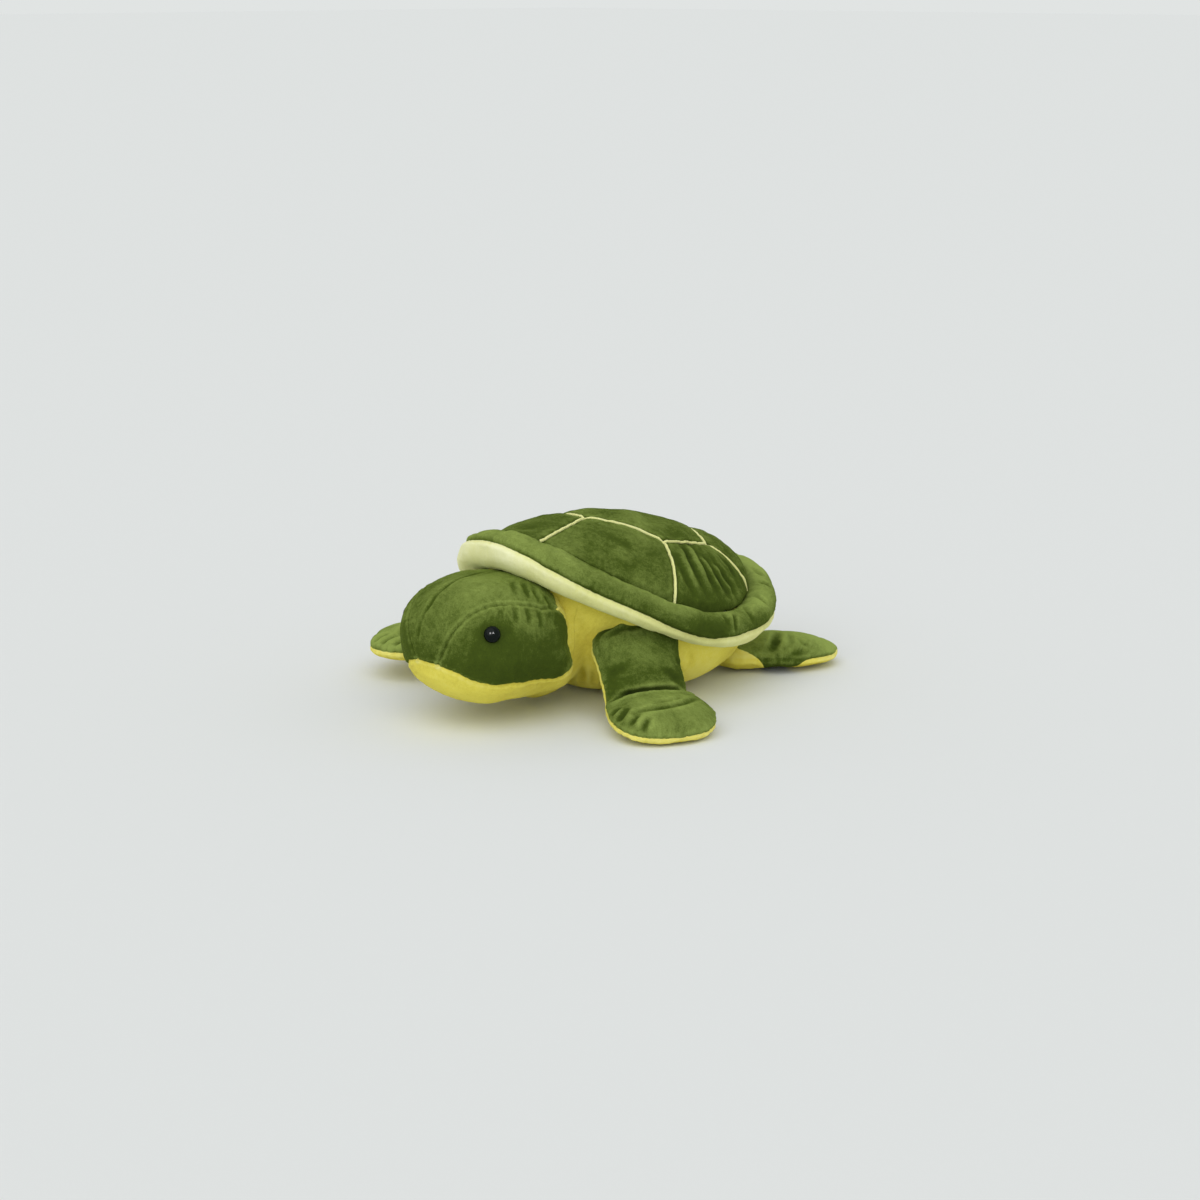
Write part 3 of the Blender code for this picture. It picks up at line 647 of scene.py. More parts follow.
def loft(rows: Array) -> Solid:
    """Close a stack of rings into a solid.

    Args:
        rows: Rings of points, each as long as the next.

    Returns:
        Points and faces.
    """
    count, width = rows.shape[:2]
    faces: list[tuple[int, ...]] = [tuple(range(width)), tuple(range((count - 1) * width, count * width))]
    for i in range(count - 1):
        for j in range(width):
            k = (j + 1) % width
            faces.append((i * width + j, i * width + k, (i + 1) * width + k, (i + 1) * width + j))
    return rows.reshape(-1, 3), faces


def hoop(rows: Array) -> Solid:
    """Close a stack of rings into a ring-shaped solid.

    Args:
        rows: Rings of points, the last of which joins the first.

    Returns:
        Points and faces.
    """
    count, width = rows.shape[:2]
    faces: list[tuple[int, ...]] = []
    for i in range(count):
        n = (i + 1) % count
        for j in range(width):
            k = (j + 1) % width
            faces.append((i * width + j, i * width + k, n * width + k, n * width + j))
    return rows.reshape(-1, 3), faces


def lens_loft(stations: Array, place: Matrix, columns: int = 40, fullness: float = 2.2) -> Solid:
    """Loft flat round sections along a limb.

    Args:
        stations: Place along X, half width, height above and depth below the seam, for each section.
        place: The limb's own frame.
        columns: Points round a section.
        fullness: 2 is an ellipse, and more is fuller.

    Returns:
        Points and faces in world space.
    """
    rows = []
    power = 2 / fullness
    for along, wide, high, low in stations:
        ring = []
        for k in range(columns):
            angle = 2 * math.pi * k / columns
            c, s = math.cos(angle), math.sin(angle)
            thick = high if s > 0 else low
            across = wide * math.copysign(abs(c) ** power, c)
            ring.append((along, across, thick * math.copysign(abs(s) ** power, s)))
        rows.append([tuple(place @ Vector(point)) for point in ring])
    return loft(np.array(rows))


def ease(table: Table, place: float) -> list[float]:
    """Read a table of shares smoothly at a place.

    Args:
        table: Rows of a place and its values.
        place: Where to read.

    Returns:
        The values there.
    """
    knots = np.array([row[0] for row in table])
    values = np.array([row[1:] for row in table])
    slopes = np.gradient(values, knots, axis=0)
    i = int(np.clip(np.searchsorted(knots, place) - 1, 0, len(knots) - 2))
    span = knots[i + 1] - knots[i]
    t = (place - knots[i]) / span
    a = (1 + 2 * t) * (1 - t) ** 2
    b = t * (1 - t) ** 2
    c = t**2 * (3 - 2 * t)
    d = t**2 * (t - 1)
    return list(a * values[i] + b * span * slopes[i] + c * values[i + 1] + d * span * slopes[i + 1])


# Finishes

class Wiring:
    """Small helpers that add nodes to one tree and join them."""

    def __init__(self, tree: bpy.types.NodeTree) -> None:
        """Keep the tree's nodes and links.

        Args:
            tree: The tree to add to.
        """
        self.nodes = tree.nodes
        self.links = tree.links

    def feed(self, socket: bpy.types.NodeSocket, value: object) -> None:
        """Link an output to a socket, or set the socket's own value."""
        if isinstance(value, bpy.types.NodeSocket):
            self.links.new(value, socket)
        else:
            socket.default_value = value

    def math(self, operation: str, *values: object, clamp: bool = False) -> bpy.types.NodeSocket:
        """Add a math node.

        Args:
            operation: The node's operation.
            values: Outputs or numbers for its inputs.
            clamp: True to keep the result between 0 and 1.

        Returns:
            The result's socket.
        """
        node = self.nodes.new("ShaderNodeMath")
        node.operation = operation
        node.use_clamp = clamp
        for socket, value in zip(node.inputs, values):
            self.feed(socket, value)
        return node.outputs["Value"]

    def noise(
        self, where: bpy.types.NodeSocket, scale: float, detail: float, roughness: float = 0.5
    ) -> bpy.types.Node:
        """Add a noise texture.

        Args:
            where: Coordinates.
            scale: Features to a metre.
            detail: Number of finer layers.
            roughness: Strength of the finer layers.

        Returns:
            The texture node.
        """
        node = self.nodes.new("ShaderNodeTexNoise")
        node.inputs["Scale"].default_value = scale
        node.inputs["Detail"].default_value = detail
        node.inputs["Roughness"].default_value = roughness
        self.links.new(where, node.inputs["Vector"])
        return node

    def mix(self, factor: object, low: object, high: object) -> bpy.types.NodeSocket:
        """Mix two colours.

        Args:
            factor: Share of the second.
            low: The first colour.
            high: The second colour.

        Returns:
            The mixed colour's socket.
        """
        node = self.nodes.new("ShaderNodeMix")
        node.data_type = "RGBA"
        self.feed(node.inputs["Factor"], factor)
        self.feed(node.inputs[6], low)
        self.feed(node.inputs[7], high)
        return node.outputs[2]


class PileGroup:
    """The look of short pile, shared by every plush: random patches of lighter and darker nap over fine
    fibres, with the painted light and shade that the sculpting recorded.
    """

    name = "Pile"

    def build(self) -> bpy.types.ShaderNodeTree:
        """Make the group, or return it if it is there.

        Returns:
            The node group, with a colour and a height.
        """
        group = bpy.data.node_groups.get(self.name)
        if group is not None:
            return group
        group = bpy.data.node_groups.new(self.name, "ShaderNodeTree")
        face = group.interface
        for label in ("Deep", "Middle", "Brushed"):
            face.new_socket(name=label, in_out="INPUT", socket_type="NodeSocketColor")
        for label in ("Mottle", "Grain"):
            face.new_socket(name=label, in_out="INPUT", socket_type="NodeSocketFloat")
        face.new_socket(name="Color", in_out="OUTPUT", socket_type="NodeSocketColor")
        face.new_socket(name="Height", in_out="OUTPUT", socket_type="NodeSocketFloat")
        wire = Wiring(group)
        entry = wire.nodes.new("NodeGroupInput").outputs
        leave = wire.nodes.new("NodeGroupOutput").inputs
        where = wire.nodes.new("ShaderNodeTexCoord").outputs["Object"]

        warp = wire.noise(where, scale=16.0, detail=1.0).outputs["Color"]
        bend = wire.nodes.new("ShaderNodeVectorMath")
        bend.operation = "MULTIPLY_ADD"
        bend.inputs[1].default_value = (0.05, 0.05, 0.05)
        wire.links.new(warp, bend.inputs[0])
        wire.links.new(where, bend.inputs[2])
        bent = bend.outputs["Vector"]
        broad = wire.noise(bent, scale=13.0, detail=1.5).outputs["Fac"]
        patch = wire.noise(bent, scale=46.0, detail=2.0).outputs["Fac"]
        tuft = wire.noise(bent, scale=240.0, detail=2.0).outputs["Fac"]
        fibre = wire.noise(where, scale=820.0, detail=3.0, roughness=0.65).outputs["Fac"]

        # Painted light and shade: the attribute moves the pile towards its deep colour in grooves, folds and
        # undersides, and towards its lit colour on tops and bumps
        tone = wire.nodes.new("ShaderNodeAttribute")
        tone.attribute_name = "tone"
        broad = wire.math("SUBTRACT", broad, 0.5)
        spread = wire.math("ADD", broad, wire.math("MULTIPLY_ADD", patch, 0.55, -0.275))
        level = wire.math("MULTIPLY_ADD", spread, entry["Mottle"], tone.outputs["Fac"])
        tufts = wire.math("MULTIPLY_ADD", tuft, 0.7, -0.35)
        fine = wire.math("ADD", tufts, wire.math("SUBTRACT", fibre, 0.5))
        level = wire.math("MULTIPLY_ADD", fine, entry["Grain"], level)
        level = wire.math("ADD", level, 0.5)
        low = wire.math("MULTIPLY", level, 2.0, clamp=True)
        high = wire.math("MULTIPLY_ADD", level, 2.0, -1.0, clamp=True)
        dark = wire.mix(low, entry["Deep"], entry["Middle"])
        wire.links.new(wire.mix(high, dark, entry["Brushed"]), leave["Color"])
        wire.links.new(wire.math("MULTIPLY_ADD", tuft, 0.6, fibre), leave["Height"])
        return group


@dataclass(frozen=True)
class Finish:
    """What a piece is dressed in, with one material for its slot."""

    slot: Slot

    def material(self) -> bpy.types.Material:
        """Make the material, or return it if it is there.

        Returns:
            The finish's material.
        """
        name = "dressed_" + self.slot.value
        made = bpy.data.materials.get(name)
        if made is None:
            made = bpy.data.materials.new(name)
            made.use_nodes = True
            self.wire(made.node_tree.nodes, made.node_tree.links)
        return made

    def wire(self, nodes: bpy.types.Nodes, links: bpy.types.NodeLinks) -> None:
        """Add the finish's nodes, which each kind of finish does its own way."""
        raise NotImplementedError


@dataclass(frozen=True)
class Plush(Finish):
    """One colour of short-pile plush."""

    deep: Colour
    middle: Colour
    # The lit end of the pile, for random lighter patches and for painted highlights
    brushed: Colour
    sheen: float
    sheen_tint: Colour
    mottle: float
    grain: float
    sheen_roughness: float = 0.35

    def wire(self, nodes: bpy.types.Nodes, links: bpy.types.NodeLinks) -> None:
        """Lay the pile over a matt, slightly sheened cloth."""
        shader = nodes["Principled BSDF"]
        pile = nodes.new("ShaderNodeGroup")
        pile.node_tree = PileGroup().build()
        for label, colour in (("Deep", self.deep), ("Middle", self.middle), ("Brushed", self.brushed)):
            pile.inputs[label].default_value = (*colour, 1.0)
        pile.inputs["Mottle"].default_value = self.mottle
        pile.inputs["Grain"].default_value = self.grain
        bump = nodes.new("ShaderNodeBump")
        bump.inputs["Strength"].default_value = 0.55
        bump.inputs["Distance"].default_value = 0.0012
        links.new(pile.outputs["Height"], bump.inputs["Height"])
        links.new(bump.outputs["Normal"], shader.inputs["Normal"])
        links.new(pile.outputs["Color"], shader.inputs["Base Color"])
        shader.inputs["Roughness"].default_value = 0.95
        shader.inputs["Specular IOR Level"].default_value = 0.06
        shader.inputs["Sheen Weight"].default_value = self.sheen
        shader.inputs["Sheen Roughness"].default_value = self.sheen_roughness
        shader.inputs["Sheen Tint"].default_value = (*self.sheen_tint, 1.0)


@dataclass(frozen=True)
class Plastic(Finish):
    """A moulded plastic, glossy or plain."""

    colour: Colour
    roughness: float

    def wire(self, nodes: bpy.types.Nodes, links: bpy.types.NodeLinks) -> None:
        """Cloud the plastic's colour a little and set its gloss."""
        shader = nodes["Principled BSDF"]
        where = nodes.new("ShaderNodeTexCoord")
        cloud = nodes.new("ShaderNodeTexNoise")
        cloud.inputs["Scale"].default_value = 400.0
        links.new(where.outputs["Object"], cloud.inputs["Vector"])
        mix = nodes.new("ShaderNodeMix")
        mix.data_type = "RGBA"
        mix.inputs[6].default_value = (*self.colour, 1.0)
        mix.inputs[7].default_value = (*(c * 1.25 for c in self.colour), 1.0)
        links.new(cloud.outputs["Fac"], mix.inputs["Factor"])
        links.new(mix.outputs[2], shader.inputs["Base Color"])
        shader.inputs["Roughness"].default_value = self.roughness
        shader.inputs["Specular IOR Level"].default_value = 0.12


# Each plush runs from its deep colour through its middle to its lit colour: random nap patches spread over
# this range, and painted light and shade push the pile towards the deep colour in shade and the lit one in
# light
GREEN = Plush(
    Slot.GREEN, deep=(0.022, 0.038, 0.003), middle=(0.056, 0.087, 0.008), brushed=(0.27, 0.35, 0.080),
    sheen=0.18, sheen_tint=(0.55, 0.76, 0.07), mottle=0.55, grain=0.42,
)
PALE = Plush(
    Slot.PALE, deep=(0.60, 0.60, 0.19), middle=(0.82, 0.83, 0.34), brushed=(0.93, 0.94, 0.60),
    sheen=0.15, sheen_tint=(0.95, 1.0, 0.7), mottle=0.5, grain=0.35,
)
YELLOW = Plush(
    Slot.YELLOW, deep=(0.52, 0.42, 0.028), middle=(0.82, 0.73, 0.110), brushed=(0.90, 0.85, 0.27),
    sheen=0.12, sheen_tint=(1.0, 0.95, 0.45), mottle=0.5, grain=0.35,
)
FIBRE = Plush(
    Slot.FIBRE, deep=(0.62, 0.62, 0.60), middle=(0.76, 0.76, 0.74), brushed=(0.85, 0.85, 0.84),
    sheen=0.2, sheen_tint=(1.0, 1.0, 1.0), mottle=0.5, grain=0.5,
)
EYE = Plastic(Slot.EYE, colour=(0.002, 0.004, 0.003), roughness=0.10)
WASHER = Plastic(Slot.WASHER, colour=(0.66, 0.66, 0.64), roughness=0.45)
CLOTH = 0.0016


def dress(
    item: bpy.types.Object, finish: Finish, nodes: Sequence[str] = ()
) -> None:
    """Give a piece its finish, hide the CAD nodes that it replaces, and log its faces.

    Args:
        item: The piece.
        finish: Its material.
        nodes: CAD nodes that it replaces.
    """
    item.data.materials.clear()
    item.data.materials.append(finish.material())
    if nodes:
        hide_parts(*nodes)
    LOG.info("%s: %d faces, %s", item.name, len(item.data.polygons), finish.slot.value)


# Shell, rim and body

@dataclass(frozen=True)
class TorsoShape:
    """Plan and heights of the torso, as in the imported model."""

    half_width: float = 0.131
    half_length: float = 0.151
    roll_radius: float = 0.0175
    height_front: float = 0.158
    height_side: float = 0.0755
    height_rear: float = 0.0925
    dome_height: float = 0.1725
    dome_foot_turn: float = 126.0
    body_foot_turn: float = 234.0
    dome_fullness: float = 0.57
    front_slack: float = 0.62
    corner_turns: tuple[float, ...] = (9.0, 86.0, 135.0, 196.0, 256.0, 312.0)
    corner_shares: tuple[float, ...] = (0.404, 0.547, 0.675, 0.74, 0.60, 0.50)
    foot_turns: tuple[float, ...] = (13.0, 72.5, 131.0, 198.0, 258.0, 310.0)
    flat_share: float = 0.28
    body_fullness: float = 1.10

    def reach(self, turn: float) -> tuple[float, Array]:
        """Distance in plan to the rim's centre line, and the direction."""
        point = np.array((self.half_width * math.sin(turn), -self.half_length * math.cos(turn)))
        length = float(np.hypot(*point))
        return length, point / length

    def rim_height(self, turn: float, share: float = 1.0) -> float:
        """Height of the rim's centre line, or of the sheet that it spans."""
        mean = (self.height_front + self.height_rear) / 2
        middle = (mean + self.height_side) / 2
        saddle = (mean - self.height_side) / 2
        pitch = (self.height_front - self.height_rear) / 2
        return middle + pitch * share * math.cos(turn) + saddle * share**2 * math.cos(2 * turn)

    def beside_rim(self, turn: float, section_turn: float, radius: float) -> tuple[float, float]:
        """Distance from the middle and height of a point about the rim's centre line."""
        length, _ = self.reach(turn)
        angle = math.radians(section_turn)
        return length + radius * math.cos(angle), self.rim_height(turn) + radius * math.sin(angle)

    def plan_turns(self, points: Array) -> Array:
        """Turn from the front of each point, in radians."""
        return np.arctan2(points[:, 0] / self.half_width, -points[:, 1] / self.half_length)

    def to_space(self, turn: float, distance: float, height: float) -> Place:
        """Turn a distance from the middle and a height into a point."""
        _, direction = self.reach(turn)
        return (direction[0] * distance, direction[1] * distance, height)

    def sheet_row(self, turns: Sequence[float], share: float, narrowing: float, drop: float) -> list[Place]:
        """A ring of the sheet that the rim spans, narrowed and dropped."""
        reaches = [self.reach(t)[0] * share * narrowing for t in turns]
        return [self.to_space(t, r, self.rim_height(t, share) - drop) for t, r in zip(turns, reaches)]

    def corner_reach(self, turn: float) -> float:
        """Share of the dome's reach at which the top panel's edge crosses a turn."""
        corners = [math.radians(c) for c in self.corner_turns]
        turn = turn % (2 * math.pi)
        for i, start in enumerate(corners):
            span = (corners[(i + 1) % len(corners)] - start) % (2 * math.pi)
            inside = (turn - start) % (2 * math.pi)
            if inside <= span:
                near, far = self.corner_shares[i], self.corner_shares[(i + 1) % len(corners)]
                return near * far * math.sin(span) / (near * math.sin(inside) + far * math.sin(span - inside))
        return self.corner_shares[0]

    def radial_turn(self, number: int, shares: Array) -> Array:
        """Turn of one radial seam where it lies at each share of the dome's reach."""
        corner = self.corner_shares[number]
        way = np.clip((shares - corner) / (1.0 - corner), 0.0, 1.0)
        start, end = math.radians(self.corner_turns[number]), math.radians(self.foot_turns[number])
        return start + (end - start) * way

    def dome_point(self, turn: float, share: float, sink: float = 0.0) -> Place:
        """A point of the dome.

        Args:
            turn: Turn from the front, in radians.
            share: Share of the way from the middle to the foot.
            sink: How far the point lies under the dome.

        Returns:
            The point.
        """
        foot, foot_height = self.beside_rim(turn, self.dome_foot_turn, self.roll_radius)
        lift = foot_height - self.rim_height(turn)
        crown = self.dome_height - lift - self.rim_height(turn, 0.0)
        power = self.dome_fullness + self.front_slack * max(0.0, math.cos(turn)) ** 2
        swell = crown * max(0.0, 1 - share**2) ** power
        return self.to_space(turn, foot * share, self.rim_height(turn, share) + lift + swell - sink)

    def body_point(self, turn: float, down: float) -> Place:
        """A point of the body.

        Args:
            turn: Turn from the front, in radians.
            down: 0 at the rim, 1 at the edge of the flat belly and 2 in its middle.

        Returns:
            The point.
        """
        foot, foot_height = self.beside_rim(turn, self.body_foot_turn, self.roll_radius)
        flat = self.flat_share * self.half_width
        if down > 1:
            return self.to_space(turn, flat * (2 - down), 0.0)
        angle = math.pi / 2 * down
        out = max(0.0, math.cos(angle)) ** self.body_fullness
        drop = math.sin(angle) ** self.body_fullness
        return self.to_space(turn, flat + (foot - flat) * out, foot_height * (1 - drop))


@dataclass
class Shell:
    """The puffed dome: a top panel and six side panels, with piping in their seams."""

    shape: TorsoShape
    view: PhotoView
    filling: Filling = Filling(voxel=0.0042, pressure=5.0, slack=0.035, travel=0.0075)
    stitch: Stitch = Stitch(0.0016, 0.0034, 0.2, Pucker(0.0008, 0.011, 0.013))
    seed: float = 5.0
    seam_sink: float = 0.0035
    seam_steps: int = 24
    core_depth: float = 0.006
    sheet_shares: tuple[float, ...] = (0.92, 0.7, 0.4, 0.05)
    sheet_reach: float = 0.92
    sheet_drop: float = 0.004
    far_crease_share: float = 0.6
    piping_radius: float = 0.0015
    sector_names: tuple[str, ...] = ("left_front", "left_rear", "rear", "right_rear", "right_front", "front")
    columns: int = 120
    rows: int = 40
    creases: tuple[Crease, ...] = (
        Crease(((680, 541), (690, 559), (699, 578), (707, 598)), 0.0030, 0.0042),
        Crease(((688, 541), (700, 559), (711, 578), (722, 600)), 0.0026, 0.0040),
        Crease(((697, 546), (708, 561), (720, 579), (733, 601)), 0.0028, 0.0042),
        Crease(((706, 552), (719, 568), (731, 586), (739, 603)), 0.0022, 0.0040),
        Crease(((673, 548), (681, 566), (690, 586), (696, 600)), 0.0018, 0.0040),
        Crease(((716, 553), (729, 566), (738, 580)), 0.0016, 0.0036),
        Crease(((600, 531), (622, 541), (640, 556)), 0.0010, 0.0060),
    )

    def build(self) -> None:
        """Make the panels and their piping."""
        form = self.form()
        seams = self.seams()
        lines = [self.line(*seam) for seam in seams]
        held = form.near(lines, self.filling.hold())
        held |= self.shares(form.points)[1] > 0.985
        held |= form.normals()[:, 2] < -0.2
        form.stuff(self.filling, held)
        core = form.core("shell_fibre", self.core_depth)
        form.refine(self.filling.refine)
        # Painted light on upward faces, painted shade on downward ones
        form.start_sculpting()
        for number, line in enumerate(lines):
            form.sew(line, self.stitch, self.seed + number)
        form.press(self.view, self.creases, self.far_crease_share)
        form.lumps(height=0.0012, spacing=0.030, seed=2.0)
        form.lumps(height=0.0005, spacing=0.010, seed=9.0)
        self.cut_out(form, core)
        self.pipe(form.tree())
        form.discard()

    def form(self) -> SoftForm:
        """The closed dome, with a hidden sheet under it."""
        shape = self.shape
        turns = [2 * math.pi * k / self.columns for k in range(self.columns)]
        rows = []
        for i in range(self.rows + 1):
            share = math.sin(math.pi / 2 * max(i, 0.2) / self.rows)
            rows.append([shape.dome_point(t, share, self.sink(share)) for t in turns])
        for share in self.sheet_shares:
            rows.append(shape.sheet_row(turns, share, self.sheet_reach, self.sheet_drop))
        form = SoftForm("shell_form", [loft(np.array(rows))])
        form.remesh(self.filling.voxel)
        return form

    def sink(self, share: float) -> float:
        """How far the starting form lies under the dome at a share of its reach: least at its foot."""
        return self.seam_sink * (1.0 - share**6)

    def shares(self, points: Array) -> tuple[Array, Array]:
        """Turn and share of the dome's reach of each point."""
        shape = self.shape
        turns = shape.plan_turns(points)
        length = np.hypot(points[:, 0], points[:, 1])
        reach = np.hypot(shape.half_width * np.sin(turns), shape.half_length * np.cos(turns))
        foot = reach + shape.roll_radius * math.cos(math.radians(shape.dome_foot_turn))
        return turns % (2 * math.pi), length / foot

    def seams(self) -> list[tuple[tuple[float, float], tuple[float, float]]]:
        """Ends of each seam as turn and share: first the hexagon's edges, then the radial seams."""
        shape = self.shape
        corners = [math.radians(c) for c in shape.corner_turns]
        feet = [math.radians(c) for c in shape.foot_turns]
        ends = list(zip(corners, shape.corner_shares))
        after = [*ends[1:], (corners[0] + 2 * math.pi, shape.corner_shares[0])]
        return list(zip(ends, after)) + [(end, (foot, 1.0)) for end, foot in zip(ends, feet)]

    def line(self, start: tuple[float, float], end: tuple[float, float]) -> Array:
        """Points along one seam of the dome."""
        shape = self.shape
        points = []
        for k in range(self.seam_steps + 1):
            t = k / self.seam_steps
            turn = start[0] + (end[0] - start[0]) * t
            share = start[1] + (end[1] - start[1]) * t if end[1] == 1.0 else shape.corner_reach(turn)
            points.append(shape.dome_point(turn, share, self.sink(share)))
        return np.array(points)

    def past_hexagon(self, points: Array) -> Array:
        """Positive outside the top panel."""
        turns, shares = self.shares(points)
        return shares - np.array([self.shape.corner_reach(t) for t in turns])

    def past_radial(self, points: Array, number: int) -> Array:
        """Positive on one side of a radial seam, and negative on the other."""
        turns, shares = self.shares(points)
        return np.sin(turns - self.shape.radial_turn(number, shares))

    def cut_out(self, form: SoftForm, core: bpy.types.Object) -> None:
        """Cut the form into its seven panels."""
        count = len(self.sector_names)
        form.cut(self.past_hexagon)
        for number in range(count):
            form.cut(lambda points, n=number: self.past_radial(points, n))
        centres = form.centres()
        turns, shares = self.shares(centres)
        outside = form.upward() > -0.25
        top = (self.past_hexagon(centres) < 0) & outside
        item = form.panel("shell_top", top, CLOTH)
        dress(item, GREEN, ("shell_top_panel",))
        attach(item, "torso")
        for number, name in enumerate(self.sector_names):
            start = self.shape.radial_turn(number, shares)
            span = (self.shape.radial_turn((number + 1) % count, shares) - start) % (2 * math.pi)
            chosen = ~top & outside & (((turns - start) % (2 * math.pi)) < span)
            item = form.panel("shell_puff_" + name, chosen, CLOTH)
            dress(item, GREEN, ("shell_side_" + name,))
            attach(item, "torso")
        dress(core, FIBRE, ("shell_stuffing",))
        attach(core, "torso")

    def pipe(self, tree: BVHTree) -> None:
        """Lay the piping cords in the seams."""
        seams = self.seams()
        count = len(self.sector_names)
        hexagon = np.concatenate([self.line(*seam)[:-1] for seam in seams[:count]])
        item = cord("shell_piping_hexagon", self.settle(hexagon, tree), self.piping_radius, True)
        dress(item, PALE, ("piping_hexagon",))
        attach(item, "torso")
        for name, seam in zip(self.sector_names, seams[count:]):
            line = self.line(*seam)
            item = cord("shell_piping_" + name, self.settle(line, tree), self.piping_radius, False)
            dress(item, PALE, ("piping_before_" + name,))
            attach(item, "torso")

    def settle(self, line: Array, tree: BVHTree) -> Array:
        """Let a cord lie on the sculpted seam."""
        rested = []
        for point in line:
            found, normal, _, _ = tree.find_nearest(Vector(point))
            rested.append(tuple(found + normal * self.piping_radius * 0.55))
        return np.array(rested)


def cord(name: str, points: Array, radius: float, closed: bool) -> bpy.types.Object:
    """Make a piping cord of folded plush.

    Args:
        name: Name of the piece.
        points: Points along its middle.
        radius: Its radius.
        closed: True if it ends where it starts.

    Returns:
        The cord as a mesh.
    """
    curve = bpy.data.curves.new(name, "CURVE")
    curve.dimensions = "3D"
    curve.bevel_depth = radius
    curve.bevel_resolution = 3
    curve.use_fill_caps = not closed
    line = curve.splines.new("POLY")
    line.points.add(len(points) - 1)
    for number, (place, point) in enumerate(zip(line.points, points)):
        place.co = (*point, 1.0)
        place.radius = 1.0 + 0.12 * noise.noise(Vector((number * 0.7, radius * 1000, 1.0)))
    line.use_cyclic_u = closed
    helper = link(name, curve)
    mesh = evaluated(helper)
    bpy.data.objects.remove(helper, do_unlink=True)
    bpy.data.curves.remove(curve)
    mesh.shade_smooth()
    return link(name, mesh)


@dataclass
class Rim:
    """The padded roll round the shell, green above and pale below."""

    shape: TorsoShape
    view: PhotoView
    filling: Filling = Filling(
        voxel=0.0038, pressure=4.0, slack=0.02, travel=0.0035, frames=12, seam_hold=0.8
    )
    stitch: Stitch = Stitch(0.0014, 0.0026, 0.3, Pucker(0.0007, 0.008, 0.011))
    inner_gathers: Pucker = Pucker(0.0012, 0.016, 0.017)
    inner_turn: float = 150.0
    inner_hold: float = 1.2
    columns: int = 160
    ring_points: int = 28
    line_steps: int = 120
    core_depth: float = 0.005
    seam_turns: Table = (
        (-180, -20), (-100, 10), (-70, 40), (-40, 52), (-23, 38), (-4, 30), (3, 26), (8, 20), (16, 12),
        (21.5, 1), (27.5, -3), (38.5, -12), (50, -11), (59, -16), (70, -31), (77, -37), (84, -37), (89, -24),
        (101, -9), (118, -12), (180, -20),
    )
    sag: Table = ((-60, 0.0), (-20, 0.004), (10, 0.006), (30, 0.0065), (48, 0.003), (65, 0.0))
    creases: tuple[Crease, ...] = (
        Crease(((734, 613), (735.5, 623), (736.5, 635)), 0.0020, 0.0022, 0.5),
        Crease(((752, 566), (758, 572), (764, 577)), 0.0016, 0.0030),
        Crease(((757, 580), (765, 583), (773, 588)), 0.0018, 0.0032),
        Crease(((755, 594), (763, 600), (771, 607)), 0.0016, 0.0030),
        Crease(((744, 606), (750, 614), (755, 624)), 0.0016, 0.0030),
        Crease(((722, 612), (727, 619), (729, 628)), 0.0015, 0.0028),
    )

    def build(self) -> None:
        """Make the two strips."""
        shape = self.shape
        rows = []
        for column in range(self.columns):
            turn = 2 * math.pi * column / self.columns
            ring = []
            for k in range(self.ring_points):
                away, height = shape.beside_rim(turn, 360.0 * k / self.ring_points, shape.roll_radius)
                low = max(0.0, -math.sin(2 * math.pi * k / self.ring_points))
                ring.append(shape.to_space(turn, away, height - low * self.at_turn(self.sag, turn)))
            rows.append(ring)
        form = SoftForm("rim_form", [hoop(np.array(rows))])
        form.remesh(self.filling.voxel)
        seam = self.line(None)
        inner = self.line(self.inner_turn)
        held = form.near([seam], self.filling.hold())
        held |= form.near([inner], self.filling.voxel * self.inner_hold)
        form.stuff(self.filling, held)
        core = form.core("rim_fibre", self.core_depth)
        form.refine(self.filling.refine)
        # Painted light on upward faces, painted shade on downward ones
        form.start_sculpting(top_light=0.16)
        # Painted highlights along the top of the roll, along its front and along its upper rear
        form.brush(self.line(80.0), amount=0.12, width=0.010)
        form.brush(self.stretch(0.0, -60.0, 20.0), amount=0.30, width=0.024)
        form.brush(self.stretch(60.0, 120.0, 175.0), amount=0.26, width=0.020)
        form.sew(seam, self.stitch, seed=31.0)
        form.puckers(inner, self.inner_gathers, seed=37.0)
        form.press(self.view, self.creases)
        form.lumps(height=0.0012, spacing=0.026, seed=4.0)
        form.cut(self.above_seam)
        above = self.above_seam(form.centres()) > 0
        top = form.panel("rim_top", above, CLOTH)
        dress(top, GREEN, ("rim_top_strip",))
        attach(top, "torso")
        low = form.panel("rim_underside", ~above, CLOTH)
        dress(low, PALE, ("rim_underside_strip",))
        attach(low, "torso")
        dress(core, FIBRE, ("rim_stuffing",))
        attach(core, "torso")
        form.discard()

    def at_turn(self, table: Table, turn: float) -> float:
        """A table's value at a turn: the underside's sag, or the outer seam's turn round the roll."""
        from_front = (math.degrees(turn) + 180) % 360 - 180
        return float(np.interp(from_front, [row[0] for row in table], [row[1] for row in table]))

    def line(self, section_turn: float | None) -> Array:
        """Points along the outer seam, or along a fixed turn of the roll's section."""
        shape = self.shape
        points = []
        for k in range(self.line_steps + 1):
            turn = 2 * math.pi * k / self.line_steps
            section = self.at_turn(self.seam_turns, turn) if section_turn is None else section_turn
            points.append(shape.to_space(turn, *shape.beside_rim(turn, section, shape.roll_radius)))
        return np.array(points)

    def stretch(self, section_turn: float, start: float, end: float) -> Array:
        """Part of a line along the roll, between two turns in degrees from the front."""
        line = self.line(section_turn)
        step = 360.0 / self.line_steps
        turns = np.arange(start, end + 1.0, step)
        return np.array([line[round(turn / step) % self.line_steps] for turn in turns])

